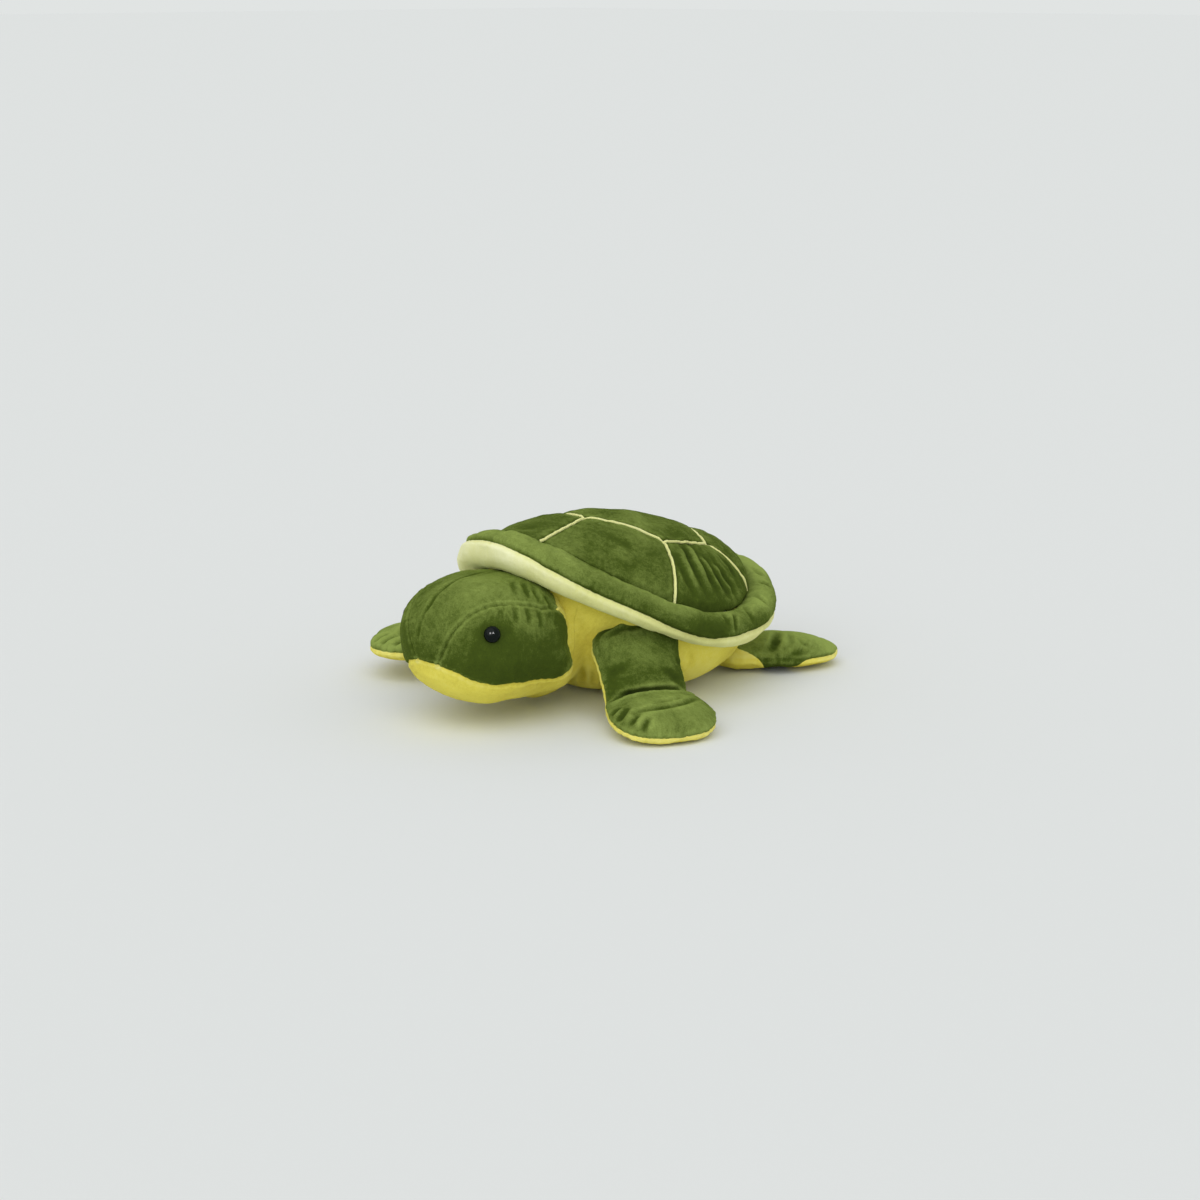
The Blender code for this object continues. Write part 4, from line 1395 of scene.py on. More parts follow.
    def above_seam(self, points: Array) -> Array:
        """Positive where a point lies on the green strip.

        The section's turn is counted from half way between the outer seam and the inner one.
        """
        shape = self.shape
        fuzzes = ragged(points, fineness=420.0, amount=1.3)
        values = []
        for point, turn, fuzz in zip(points, shape.plan_turns(points), fuzzes):
            length, _ = shape.reach(turn)
            out = math.hypot(point[0], point[1]) - length
            up = point[2] - shape.rim_height(turn)
            section = math.degrees(math.atan2(up, out))
            seam = self.at_turn(self.seam_turns, turn)
            middle = (seam + 180.0) / 2
            half = (180.0 - seam) / 2
            apart = abs((section - middle + 180) % 360 - 180)
            values.append((half - apart + fuzz) / 60.0)
        return np.array(values)


@dataclass
class Trunk:
    """The yellow body under the shell, with the neck in front."""

    shape: TorsoShape
    view: PhotoView
    filling: Filling = Filling(voxel=0.0048, pressure=3.0, slack=0.015, travel=0.003, frames=12)
    neck_centre: Place = (0.0, -0.121, 0.066)
    neck_radius: float = 0.0590
    neck_tuck: float = 0.22
    blend_behind: float = 0.045
    blend_ahead: float = 0.004
    belly_seam: float = 0.016
    columns: int = 120
    side_rows: int = 16
    belly_rows: tuple[float, ...] = (1.3, 1.7, 1.95)
    top_shares: tuple[float, ...] = (0.05, 0.5, 0.85)
    top_drop: float = 0.006
    core_depth: float = 0.006
    creases: tuple[Crease, ...] = (
        Crease(((583, 664), (583, 676), (582, 687)), 0.0022, 0.0036),
        Crease(((592, 668), (593, 678), (592, 687)), 0.0018, 0.0034),
        Crease(((600, 672), (601, 680), (602, 688)), 0.0016, 0.0034),
        Crease(((690, 650), (692, 660), (690, 670)), 0.0010, 0.0040),
    )

    def build(self) -> None:
        """Make the belly, the sides and the neck."""
        shape = self.shape
        turns = [2 * math.pi * k / self.columns for k in range(self.columns)]
        rows = [shape.sheet_row(turns, share, 1.0, self.top_drop) for share in self.top_shares]
        for down in (*(k / self.side_rows for k in range(self.side_rows + 1)), *self.belly_rows):
            rows.append([shape.body_point(t, down) for t in turns])
        form = SoftForm("trunk_form", [loft(np.array(rows)), self.ball()])
        form.remesh(self.filling.voxel)
        points = form.points
        held = (points[:, 2] < 0.004) | (form.normals()[:, 2] > 0.5)
        held |= points[:, 1] < self.neck_centre[1] - 0.03
        form.stuff(self.filling, held)
        core = form.core("trunk_fibre", self.core_depth)
        form.refine(self.filling.refine)
        # Painted light on upward faces, painted shade on downward ones
        form.start_sculpting()
        form.press(self.view, self.creases)
        form.lumps(height=0.0014, spacing=0.032, seed=6.0)
        form.keep_above(0.0)
        form.cut(lambda points: points[:, 2] - self.belly_seam)
        form.cut(lambda points: points[:, 1] - self.neck_centre[1])
        form.cut(lambda points: points[:, 0])
        centres = form.centres()
        belly = (centres[:, 2] < self.belly_seam) & (centres[:, 1] > self.neck_centre[1])
        neck_part = centres[:, 1] < self.neck_centre[1]
        pieces = (
            ("belly", belly, ("belly_panel",)),
            ("flank_left", ~belly & ~neck_part & (centres[:, 0] > 0), ("body_side_left",)),
            ("flank_right", ~belly & ~neck_part & (centres[:, 0] < 0), ("body_side_right",)),
            ("neck", neck_part, ("neck_cover", "neck_stuffing")),
        )
        for name, chosen, nodes in pieces:
            item = form.panel("trunk_" + name, chosen, CLOTH)
            dress(item, YELLOW, nodes)
            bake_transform(item)
        dress(core, FIBRE, ("body_stuffing",))
        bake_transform(core)
        form.discard()

    def ball(self) -> Solid:
        """The neck as a ball, a little longer than it is wide."""
        rows = []
        ring_count, columns = 24, 40
        for i in range(ring_count + 1):
            turn = math.pi * (0.02 + 0.96 * i / ring_count)
            ring = []
            for k in range(columns):
                angle = 2 * math.pi * k / columns
                out = self.neck_radius * math.sin(turn)
                wide = out * math.sin(angle) * (1.0 - self.neck_tuck * max(0.0, -math.cos(angle)))
                ring.append((self.neck_centre[0] + wide,
                             self.neck_centre[1] - self.neck_radius * math.cos(turn),
                             self.neck_centre[2] + out * math.cos(angle)))
            rows.append(ring)
        return loft(np.array(rows))


@dataclass
class Head:
    """The head: two side panels, a gusset over the top and a chin, with two safety eyes."""

    view: PhotoView
    filling: Filling = Filling(voxel=0.0036, pressure=4.0, slack=0.02, travel=0.004, seam_hold=0.7)
    stitch: Stitch = Stitch(0.0010, 0.0018, 0.60, Pucker(0.0008, 0.008, 0.009), 0.14, 0.0034)
    seed: float = 50.0
    rings: int = 48
    columns: int = 72
    core_depth: float = 0.012
    centre: Place = (0.0, -0.184, 0.084)
    half_width: float = 0.0755
    front: float = 0.0755
    back: float = 0.074
    up: float = 0.0535
    down: float = 0.064
    roundness: float = 2.3
    corner_roundness: float = 4.8
    corner_fullness: float = 2.4
    mouth_turn: float = -12.0
    gusset_shares: Table = (
        (0, 0.19), (15, 0.33), (35, 0.44), (55, 0.53), (70, 0.61), (82, 0.70), (97, 0.78), (115, 0.86),
        (148, 0.82),
    )
    chin_shares: Table = (
        (148, 0.82), (160, 0.79), (190, 0.77), (205, 0.80), (222, 0.90), (240, 0.94),
        (258, 0.92), (277, 0.87), (311, 0.84), (335, 0.68), (353, 0.46), (360, 0.19),
    )
    crown_end: float = 148.0
    nape_end: float = 210.0
    middle_seam: Table = ((2, -0.12), (20, -0.13), (50, -0.10), (75, -0.12), (100, -0.12), (146, -0.07))
    eye_share: float = 0.80
    far_eye_share: float = 0.875
    eye_turn: float = 24.0
    eye_radius: float = 0.0078
    eye_height: float = 0.0052
    dimple: float = 0.0042
    creases: tuple[Crease, ...] = (
        Crease(((501, 606), (501, 613), (500, 620)), 0.0012, 0.0026),
        Crease(((515, 605), (516, 614), (516, 624)), 0.0014, 0.0026),
        Crease(((527, 606), (529, 616), (529, 627)), 0.0014, 0.0026),
        Crease(((538, 609), (541, 619), (542, 630)), 0.0014, 0.0026),
        Crease(((512, 580), (514, 589), (516, 598)), 0.0014, 0.0028),
        Crease(((522, 581), (526, 590), (530, 600)), 0.0016, 0.0028),
        Crease(((532, 588), (537, 596), (541, 604)), 0.0014, 0.0028),
        Crease(((543, 594), (548, 601), (552, 608)), 0.0012, 0.0026),
    )

    def build(self) -> None:
        """Make the panels and the eyes."""
        rows = []
        for i in range(self.rings + 1):
            across = math.pi * (-0.49 + 0.98 * i / self.rings)
            rows.append([self.point(across, 360.0 * k / self.columns) for k in range(self.columns)])
        form = SoftForm("head_form", [loft(np.array(rows))])
        form.remesh(self.filling.voxel)
        seams = self.seams()
        form.stuff(self.filling, form.near(seams, self.filling.hold()))
        core = form.core("head_fibre", self.core_depth)
        form.refine(self.filling.refine)
        # Painted light on upward faces, stronger on the head, painted shade on downward ones
        form.start_sculpting(top_light=0.20)
        for number, line in enumerate(seams):
            form.sew(line, self.stitch, self.seed + number)
        form.press(self.view, self.creases)
        middle = np.array([self.point(math.asin(share), turn) for turn, share in self.middle_seam])
        form.groove(form.nearest(middle), depth=0.0018, width=0.0022, lip=0.30)
        form.lumps(height=0.0012, spacing=0.028, seed=8.0)
        form.lumps(height=0.0004, spacing=0.009, seed=12.0)
        for side in Side:
            self.press_eye(form, side)
        self.cut_out(form, core)
        for side in Side:
            self.eye(side)
        form.discard()

    def point(self, across: float, turn_degrees: float) -> Place:
        """A point of the head's starting form."""
        turn = math.radians(turn_degrees + self.mouth_turn)
        share = math.sin(across)
        forward, up = math.cos(turn), math.sin(turn)
        fullness = self.roundness + self.corner_fullness * max(0.0, -forward) * max(0.0, -up)
        ring = max(0.0, 1 - abs(share) ** fullness) ** (1 / fullness)
        along = self.front if forward > 0 else self.back
        height = self.up if up > 0 else self.down
        power = 2 / (self.corner_roundness if forward < 0 and up < 0 else self.roundness)
        return (
            self.centre[0] + self.half_width * share,
            self.centre[1] - along * ring * math.copysign(abs(forward) ** power, forward),
            self.centre[2] + height * ring * math.copysign(abs(up) ** power, up),
        )

    def turn_of(self, points: Array) -> Array:
        """Turn of each point round the head, from the mouth over the top, in degrees."""
        local = points - np.array(self.centre)
        forward = -local[:, 1]
        forward = forward / np.where(forward > 0, self.front, self.back)
        up = local[:, 2] / np.where(local[:, 2] > 0, self.up, self.down)
        power = np.where((forward < 0) & (up < 0), self.corner_roundness, self.roundness) / 2
        forward = np.sign(forward) * np.abs(forward) ** power
        up = np.sign(up) * np.abs(up) ** power
        return (np.degrees(np.arctan2(up, forward)) - self.mouth_turn) % 360

    def seam_share(self, turns: Array) -> Array:
        """Place of the side seam as a share of the half width."""
        over = np.interp(turns, [r[0] for r in self.gusset_shares], [r[1] for r in self.gusset_shares])
        under = np.interp(turns, [r[0] for r in self.chin_shares], [r[1] for r in self.chin_shares])
        return np.where(turns <= self.crown_end, over, under)

    def seams(self) -> list[Array]:
        """Lines of the seams: both sides over the top and underneath, across the mouth and the back."""
        lines = []
        for side in (1.0, -1.0):
            for start, end in ((0.0, self.crown_end), (self.crown_end, 360.0)):
                line = []
                for turn in np.linspace(start, end, 41):
                    share = float(self.seam_share(np.array([min(turn, 359.9)]))[0])
                    line.append(self.point(side * math.asin(share), turn))
                lines.append(np.array(line))
        for turn in (0.0, self.crown_end):
            reach = math.asin(float(self.seam_share(np.array([turn]))[0]))
            lines.append(np.array([self.point(reach * (k / 8 - 1), turn) for k in range(17)]))
        return lines

    def off_side(self, points: Array) -> Array:
        """Positive on the side panels, and negative on the gusset and the chin."""
        shares = np.abs(points[:, 0] - self.centre[0]) / self.half_width
        past = shares - self.seam_share(self.turn_of(points))
        return past + ragged(points, fineness=420.0, amount=0.006)

    def between(self, points: Array, start: float, end: float) -> Array:
        """Positive between two turns round the head."""
        middle, half = (start + end) / 2, (end - start) / 2
        return np.cos(np.radians(self.turn_of(points) - middle)) - math.cos(math.radians(half))

    def cut_out(self, form: SoftForm, core: bpy.types.Object) -> None:
        """Cut the form into its five panels."""
        form.cut(self.off_side)
        form.cut(lambda points: self.between(points, 0.0, self.crown_end))
        form.cut(lambda points: self.between(points, self.crown_end, self.nape_end))
        centres = form.centres()
        sides = self.off_side(centres) > 0
        over = self.between(centres, 0.0, self.crown_end) > 0
        behind = self.between(centres, self.crown_end, self.nape_end) > 0
        pieces = (
            ("cheek_left", sides & (centres[:, 0] > 0), GREEN, "head_side_left"),
            ("cheek_right", sides & (centres[:, 0] < 0), GREEN, "head_side_right"),
            ("crown", ~sides & over, GREEN, "head_gusset"),
            ("nape", ~sides & ~over & behind, YELLOW, "nape_panel"),
            ("chin", ~sides & ~over & ~behind, YELLOW, "chin_panel"),
        )
        for name, chosen, finish, node in pieces:
            item = form.panel("head_" + name, chosen, CLOTH)
            dress(item, finish, (node,))
            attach(item, "head")
        dress(core, FIBRE, ("head_stuffing",))
        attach(core, "head")

    def eye_seat(self, side: Side) -> tuple[Vector, Vector]:
        """Place and outward direction of an eye on the starting form."""
        across = math.asin(self.eye_share if side is Side.LEFT else self.far_eye_share)
        turn = self.eye_turn - self.mouth_turn
        place = Vector(self.point(across, turn))
        along = Vector(self.point(across + 0.03, turn)) - place
        over = Vector(self.point(across, turn + 2.0)) - place
        normal = along.cross(over).normalized()
        if normal.x < 0:
            normal.negate()
        place.x *= side.value
        normal.x *= side.value
        return place, normal

    def press_eye(self, form: SoftForm, side: Side) -> None:
        """Draw the plush in round an eye, with painted shade in the dimple."""
        place, _ = self.eye_seat(side)
        away = np.linalg.norm(form.points - np.array(place), axis=1)
        reach = self.eye_radius * 1.9
        # Painted shade in the dimple round the eye
        form.push(-self.dimple * np.exp(-((away / reach) ** 2)), 0.6)

    def eye(self, side: Side) -> None:
        """Make a glossy domed eye, flattened behind, and give its washer a material."""
        deselect()
        place, normal = self.eye_seat(side)
        bpy.ops.mesh.primitive_uv_sphere_add(segments=48, ring_count=24, radius=self.eye_radius)
        item = bpy.context.active_object
        item.name = "safety_eye_" + side.word
        bpy.ops.object.mode_set(mode="EDIT")
        builder = bmesh.from_edit_mesh(item.data)
        for vertex in builder.verts:
            vertex.select_set(vertex.co.z < -self.eye_radius * 0.05)
        builder.select_flush_mode()
        bmesh.update_edit_mesh(item.data)
        bpy.ops.transform.resize(value=(1.0, 1.0, 0.25))
        bpy.ops.mesh.select_all(action="SELECT")
        bpy.ops.transform.resize(value=(1.0, 1.0, self.eye_height / self.eye_radius * 0.95))
        bpy.ops.object.mode_set(mode="OBJECT")
        turn = normal.to_track_quat("Z", "Y").to_matrix().to_4x4()
        item.data.transform(Matrix.Translation(place - normal * self.dimple * 0.55) @ turn)
        item.data.shade_smooth()
        dress(item, EYE, ("eye_" + side.word,))
        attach(item, "head")
        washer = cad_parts["eye_washer_" + side.word]
        washer.data.materials.clear()
        washer.data.materials.append(WASHER.material())


@dataclass(frozen=True)
class LimbFrame:
    """A limb's own frame: X runs out along it, Y along its joint and Z up."""

    place: Place
    slope: float
    heading: float

    def matrix(self) -> Matrix:
        """The frame as a matrix."""
        heading = Matrix.Rotation(math.radians(self.heading), 4, "Z")
        turn = heading @ Matrix.Rotation(math.radians(self.slope), 4, "Y")
        return Matrix.Translation(Vector(self.place)) @ turn

    def world(self, points: Sequence[Sequence[float]]) -> Array:
        """Points of this frame, in the turtle's own."""
        matrix = self.matrix()
        return np.array([tuple(matrix @ Vector(point)) for point in points]).reshape(-1, 3)

    def about_joint(self, reach: Sequence[float]) -> tuple[Place, Place]:
        """Points on the limb's axis behind and ahead of its joint."""
        root = np.array(self.place)
        out = np.array(self.matrix().to_3x3() @ Vector((1.0, 0.0, 0.0)))
        return tuple(root - out * reach[0]), tuple(root + out * reach[1])

    def local(self, points: Array) -> Array:
        """Points in this frame."""
        inverse = np.array(self.matrix().inverted())
        return points @ inverse[:3, :3].T + inverse[:3, 3]


@dataclass(frozen=True)
class Rest:
    """How a front flipper rests: its azimuth ahead of sideways, and the slopes of arm and paw."""

    azimuth: float
    arm_slope: float
    paw_slope: float


class Portion(Enum):
    """The two portions of a front flipper, in the order of its frames."""

    ARM = 0
    PAW = 1


RESTS = {Side.LEFT: Rest(23.0, 44.0, 9.0), Side.RIGHT: Rest(30.0, 30.0, 2.0)}


@dataclass
class FrontFlipper:
    """An arm from the shoulder to the fold, and a paw beyond it."""

    side: Side
    view: PhotoView
    filling: Filling = Filling(voxel=0.0036, pressure=4.0, slack=0.03, travel=0.004)
    stitch: Stitch = Stitch(0.0010, 0.0022, 0.4, Pucker(0.0011, 0.010, 0.0095), 0.22, 0.0050)
    fold_gathers: Pucker = Pucker(0.0006, 0.012, 0.013)
    core_depth: float = 0.006
    shoulder: Place = (0.085, -0.0775, 0.067)
    arm_length: float = 0.066
    paw_length: float = 0.081
    arm_table: Table = (
        (-0.26, 0.028, 0.0135, 0.0115), (0.0, 0.0440, 0.0175, 0.0145), (0.35, 0.0430, 0.0175, 0.0150),
        (0.70, 0.0420, 0.0165, 0.0150), (0.90, 0.0425, 0.0135, 0.0140), (1.0, 0.0430, 0.0110, 0.0140),
        (1.20, 0.0380, 0.0050, 0.0110),
    )
    paw_table: Table = (
        (-0.12, 0.038, 0.0050, 0.0110), (0.05, 0.0450, 0.0110, 0.0135), (0.13, 0.0470, 0.0142, 0.0136),
        (0.25, 0.0500, 0.0150, 0.0138), (0.48, 0.0520, 0.0136, 0.0136), (0.70, 0.0480, 0.0118, 0.0124),
        (0.86, 0.0380, 0.0090, 0.0098), (0.96, 0.0235, 0.0055, 0.0062), (1.0, 0.0060, 0.0016, 0.0018),
    )
    lean: tuple[float, float] = (0.0050, 0.0060)
    shoulder_reach: tuple[float, float] = (0.010, 0.016)
    fold_place: float = 0.0090
    fold_slant: float = 0.15
    fold_stretch: float = 0.016
    crease_place: float = 0.006
    crease_bow: float = 0.003
    crease_half_width: float = 0.052
    crease_height: float = 0.0130
    # Height of the line along which light and shade are painted
    paint_line_height: float = 0.0145
    arm_creases: tuple[Crease, ...] = (
        Crease(((594, 644), (603, 634), (618, 626), (640, 622)), 0.0024, 0.0036),
        Crease(((603, 640), (620, 634), (645, 631), (668, 634)), 0.0012, 0.0034),
        Crease(((606, 676), (618, 670), (630, 668)), 0.0014, 0.0044),
        Crease(((661, 668), (670, 676), (680, 684)), 0.0016, 0.0046),
        Crease(((672, 660), (679, 668), (685, 677)), 0.0012, 0.0040),
    )
    paw_creases: tuple[Crease, ...] = (
        Crease(((628, 716), (650, 711), (670, 708), (685, 704), (700, 698)), 0.0022, 0.0034),
        Crease(((652, 707), (670, 703), (686, 698)), 0.0010, 0.0030),
        Crease(((618, 721), (624, 714), (630, 707)), 0.0026, 0.0032),
        Crease(((630, 727), (635, 720), (641, 714)), 0.0026, 0.0032),
        Crease(((643, 732), (646, 725), (650, 718)), 0.0024, 0.0032),
        Crease(((610, 716), (616, 711), (622, 707)), 0.0020, 0.0030),
    )

    def build(self) -> None:
        """Make the arm's and the paw's panels."""
        arm, paw = self.frames(self.side)
        arm_stations = self.stations(Portion.ARM, 26)
        paw_part = lens_loft(self.stations(Portion.PAW, 30), paw.matrix())
        form = SoftForm("flipper_form_" + self.side.word, [self.leaned(arm_stations, arm), paw_part])
        form.remesh(self.filling.voxel)
        edges = self.edge_lines(arm, paw)
        points = form.points
        held = form.near(edges, self.filling.hold())
        held |= arm.local(points)[:, 0] < -0.004
        held |= points[:, 2] < FLOOR_HOLD
        form.stuff(self.filling, held)
        core = form.core("flipper_fibre_" + self.side.word, self.core_depth)
        form.refine(self.filling.refine)
        # Painted light on upward faces, more on the right flipper than the left
        form.start_sculpting(top_light=0.10 if self.side is Side.LEFT else 0.34)
        # Painted highlight over the paw's top
        form.brush(self.middle(paw, 0.10, 0.85, 0.030), amount=0.20, width=0.022)
        fold = self.fold_line(paw)
        form.groove(fold, depth=0.0034, width=0.0036, lip=0.55, fade=False)
        # Painted shade in the fold
        form.brush(fold, amount=-0.35, width=0.0045)
        # Painted shade across the arm's middle
        form.brush(self.middle(arm, 0.62, 0.62, 0.045), amount=-0.16, width=0.013)
        for number, line in enumerate(edges):
            form.sew(line, self.stitch, seed=70.0 + number + self.side.value)
        form.puckers(fold, self.fold_gathers, seed=80.0 + self.side.value)
        for creases, portion in ((self.arm_creases, Portion.ARM), (self.paw_creases, Portion.PAW)):
            for crease in creases:
                line = self.laid(crease.path, portion)
                form.groove(form.nearest(line), crease.depth, crease.width, crease.lip)
        form.lumps(height=0.0011, spacing=0.022, seed=14.0 + self.side.value)
        form.lumps(height=0.0004, spacing=0.008, seed=17.0)
        form.keep_above(FLOOR_GAP)
        self.cut_out(form, core, arm, paw)
        form.discard()

    def frames(self, side: Side) -> tuple[LimbFrame, LimbFrame]:
        """Frames of one side's arm and paw."""
        rest = RESTS[side]
        heading = -rest.azimuth if side is Side.LEFT else 180.0 + rest.azimuth
        x, y, z = self.shoulder
        arm = LimbFrame((side.value * x, y, z), rest.arm_slope, heading)
        fold = arm.matrix() @ Vector((self.arm_length, 0.0, 0.0))
        return arm, LimbFrame(tuple(fold), rest.paw_slope, heading)

    def measures(self, portion: Portion) -> tuple[Table, float]:
        """A portion's table of sections and its length."""
        if portion is Portion.ARM:
            return self.arm_table, self.arm_length
        return self.paw_table, self.paw_length

    def stations(self, portion: Portion, count: int) -> Array:
        """Evenly spaced sections along a portion, from its table."""
        table, length = self.measures(portion)
        places = np.linspace(table[0][0], table[-1][0], count)
        return np.array([[a * length, *ease(table, a)] for a in places])

    def laid(self, path: Sequence[Pixel], portion: Portion) -> Array:
        """Lay a path of pixels over the left flipper's upper side, and move it to this flipper's own.

        Args:
            path: Pixels of the photograph.
            portion: The portion that it lies on.

        Returns:
            The points on this flipper.
        """
        shown = self.frames(Side.LEFT)[portion.value]
        table, length = self.measures(portion)
        rows, columns = 29, 17
        corners = []
        for share in np.linspace(table[0][0], table[-1][0], rows):
            wide, high, _ = ease(table, share)
            for a in np.linspace(-1, 1, columns):
                corners.append((share * length, wide * a, high * math.sqrt(1.0 - 0.9 * a * a)))
        faces = []
        for i in range(0, (rows - 1) * columns, columns):
            for k in range(i, i + columns - 1):
                faces.append((k, k + 1, k + columns + 1, k + columns))
        tree = BVHTree.FromPolygons(shown.world(corners).tolist(), faces)
        points = shown.local(self.view.onto(tree, path))
        return self.frames(self.side)[portion.value].world(points * np.array((1.0, self.side.value, 1.0)))

    def shift(self, place: float) -> Vector:
        """How far the arm leans back and up at a place along it, to fill the gap under the rim."""
        share = min(1.25, max(0.0, 1.0 - place / self.arm_length))
        return Vector((0.0, self.side.value * self.lean[0] * share, self.lean[1] * share))

    def leaned(self, stations: Array, arm: LimbFrame) -> Solid:
        """The arm's loft, leaning at its root."""
        points, faces = lens_loft(stations, Matrix.Identity(4))
        return arm.world([Vector(p) + self.shift(p[0]) for p in points]), faces

    def fold_line(self, paw: LimbFrame) -> Array:
        """The fold across the top of the flipper."""
        points = []
        for k in range(-12, 13):
            along = self.crease_place + self.crease_bow * (k / 12) ** 2
            points.append((along, self.crease_half_width * k / 12, self.crease_height))
        return paw.world(points)

    def middle(self, limb: LimbFrame, start: float, end: float, wide: float) -> Array:
        """A line over the upper side of a limb, along which light and shade are painted.

        Args:
            limb: The arm or the paw.
            start: Where it crosses the limb's middle, as a share of the paw's length.
            end: Where both its ends lie, as a share of the paw's length.
            wide: Half its width.

        Returns:
            Points along the line.
        """
        points = []
        for k in range(-8, 9):
            along = self.paw_length * (start + (end - start) * abs(k) / 8)
            points.append((along, wide * k / 8, self.paint_line_height))
        return limb.world(points)

    def edge_lines(self, arm: LimbFrame, paw: LimbFrame) -> list[Array]:
        """Both edge seams, from the shoulder round the paw's tip."""
        lines = []
        for side in (1.0, -1.0):
            on_arm = []
            for a in np.linspace(0.0, 0.95, 14):
                place = a * self.arm_length
                on_arm.append(Vector((place, side * ease(self.arm_table, a)[0], 0.0)) + self.shift(place))
            on_paw = []
            for a in np.linspace(0.08, 1.0, 24):
                on_paw.append((a * self.paw_length, side * ease(self.paw_table, a)[0], 0.0))
            lines.append(np.concatenate((arm.world(on_arm), paw.world(on_paw))))
        return lines

    def over_seam(self, points: Array, arm: LimbFrame, paw: LimbFrame) -> Array:
        """Height over the edge seam, which bends at the fold."""
        on_arm = arm.local(points)
        on_arm[:, 2] -= self.lean[1] * np.clip(1.0 - on_arm[:, 0] / self.arm_length, 0.0, 1.25)
        on_paw = paw.local(points)
        place = on_paw[:, 0]
        weight = np.clip((place + 0.006) / 0.012, 0.0, 1.0)
        level = on_arm[:, 2] * (1 - weight) + on_paw[:, 2] * weight
        return level + ragged(points, fineness=450.0, amount=0.0005)

    def past_fold(self, points: Array, paw: LimbFrame) -> Array:
        """Positive beyond the cut between the arm and the paw."""
        local = paw.local(points)
        return local[:, 0] + self.fold_slant * local[:, 2] - self.fold_place

    def cut_out(self, form: SoftForm, core: bpy.types.Object, arm: LimbFrame, paw: LimbFrame) -> None:
        """Cut the form along its edge seam and its fold."""
        form.cut(lambda points: self.over_seam(points, arm, paw))
        form.cut(lambda points: self.past_fold(points, paw))
        centres = form.centres()
        over = self.over_seam(centres, arm, paw) > 0
        beyond = self.past_fold(centres, paw) > 0
        word = self.side.word
        fold = np.array(paw.place)
        across_fold = Vector((1.0, 0.0, self.fold_slant))
        on_paw = np.array(paw.matrix().to_3x3() @ across_fold.normalized())
        shoulder_blend = arm.about_joint(self.shoulder_reach)
        pieces = (
            ("arm_back_" + word, over & ~beyond, GREEN, ("arm_top_" + word,), True),
            ("arm_under_" + word, ~over & ~beyond, YELLOW, ("arm_underside_" + word,), True),
            ("paw_back_" + word, over & beyond, GREEN, ("paw_top_" + word,), False),
            ("paw_under_" + word, ~over & beyond, YELLOW, ("paw_underside_" + word,), False),
        )
        for name, chosen, finish, nodes, on_arm in pieces:
            item = form.panel(name, chosen, CLOTH)
            dress(item, finish, nodes)
            if on_arm:
                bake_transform(item)
            else:
                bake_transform(item)
        dress(core, FIBRE, ("arm_stuffing_" + word, "paw_stuffing_" + word))
        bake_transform(core)


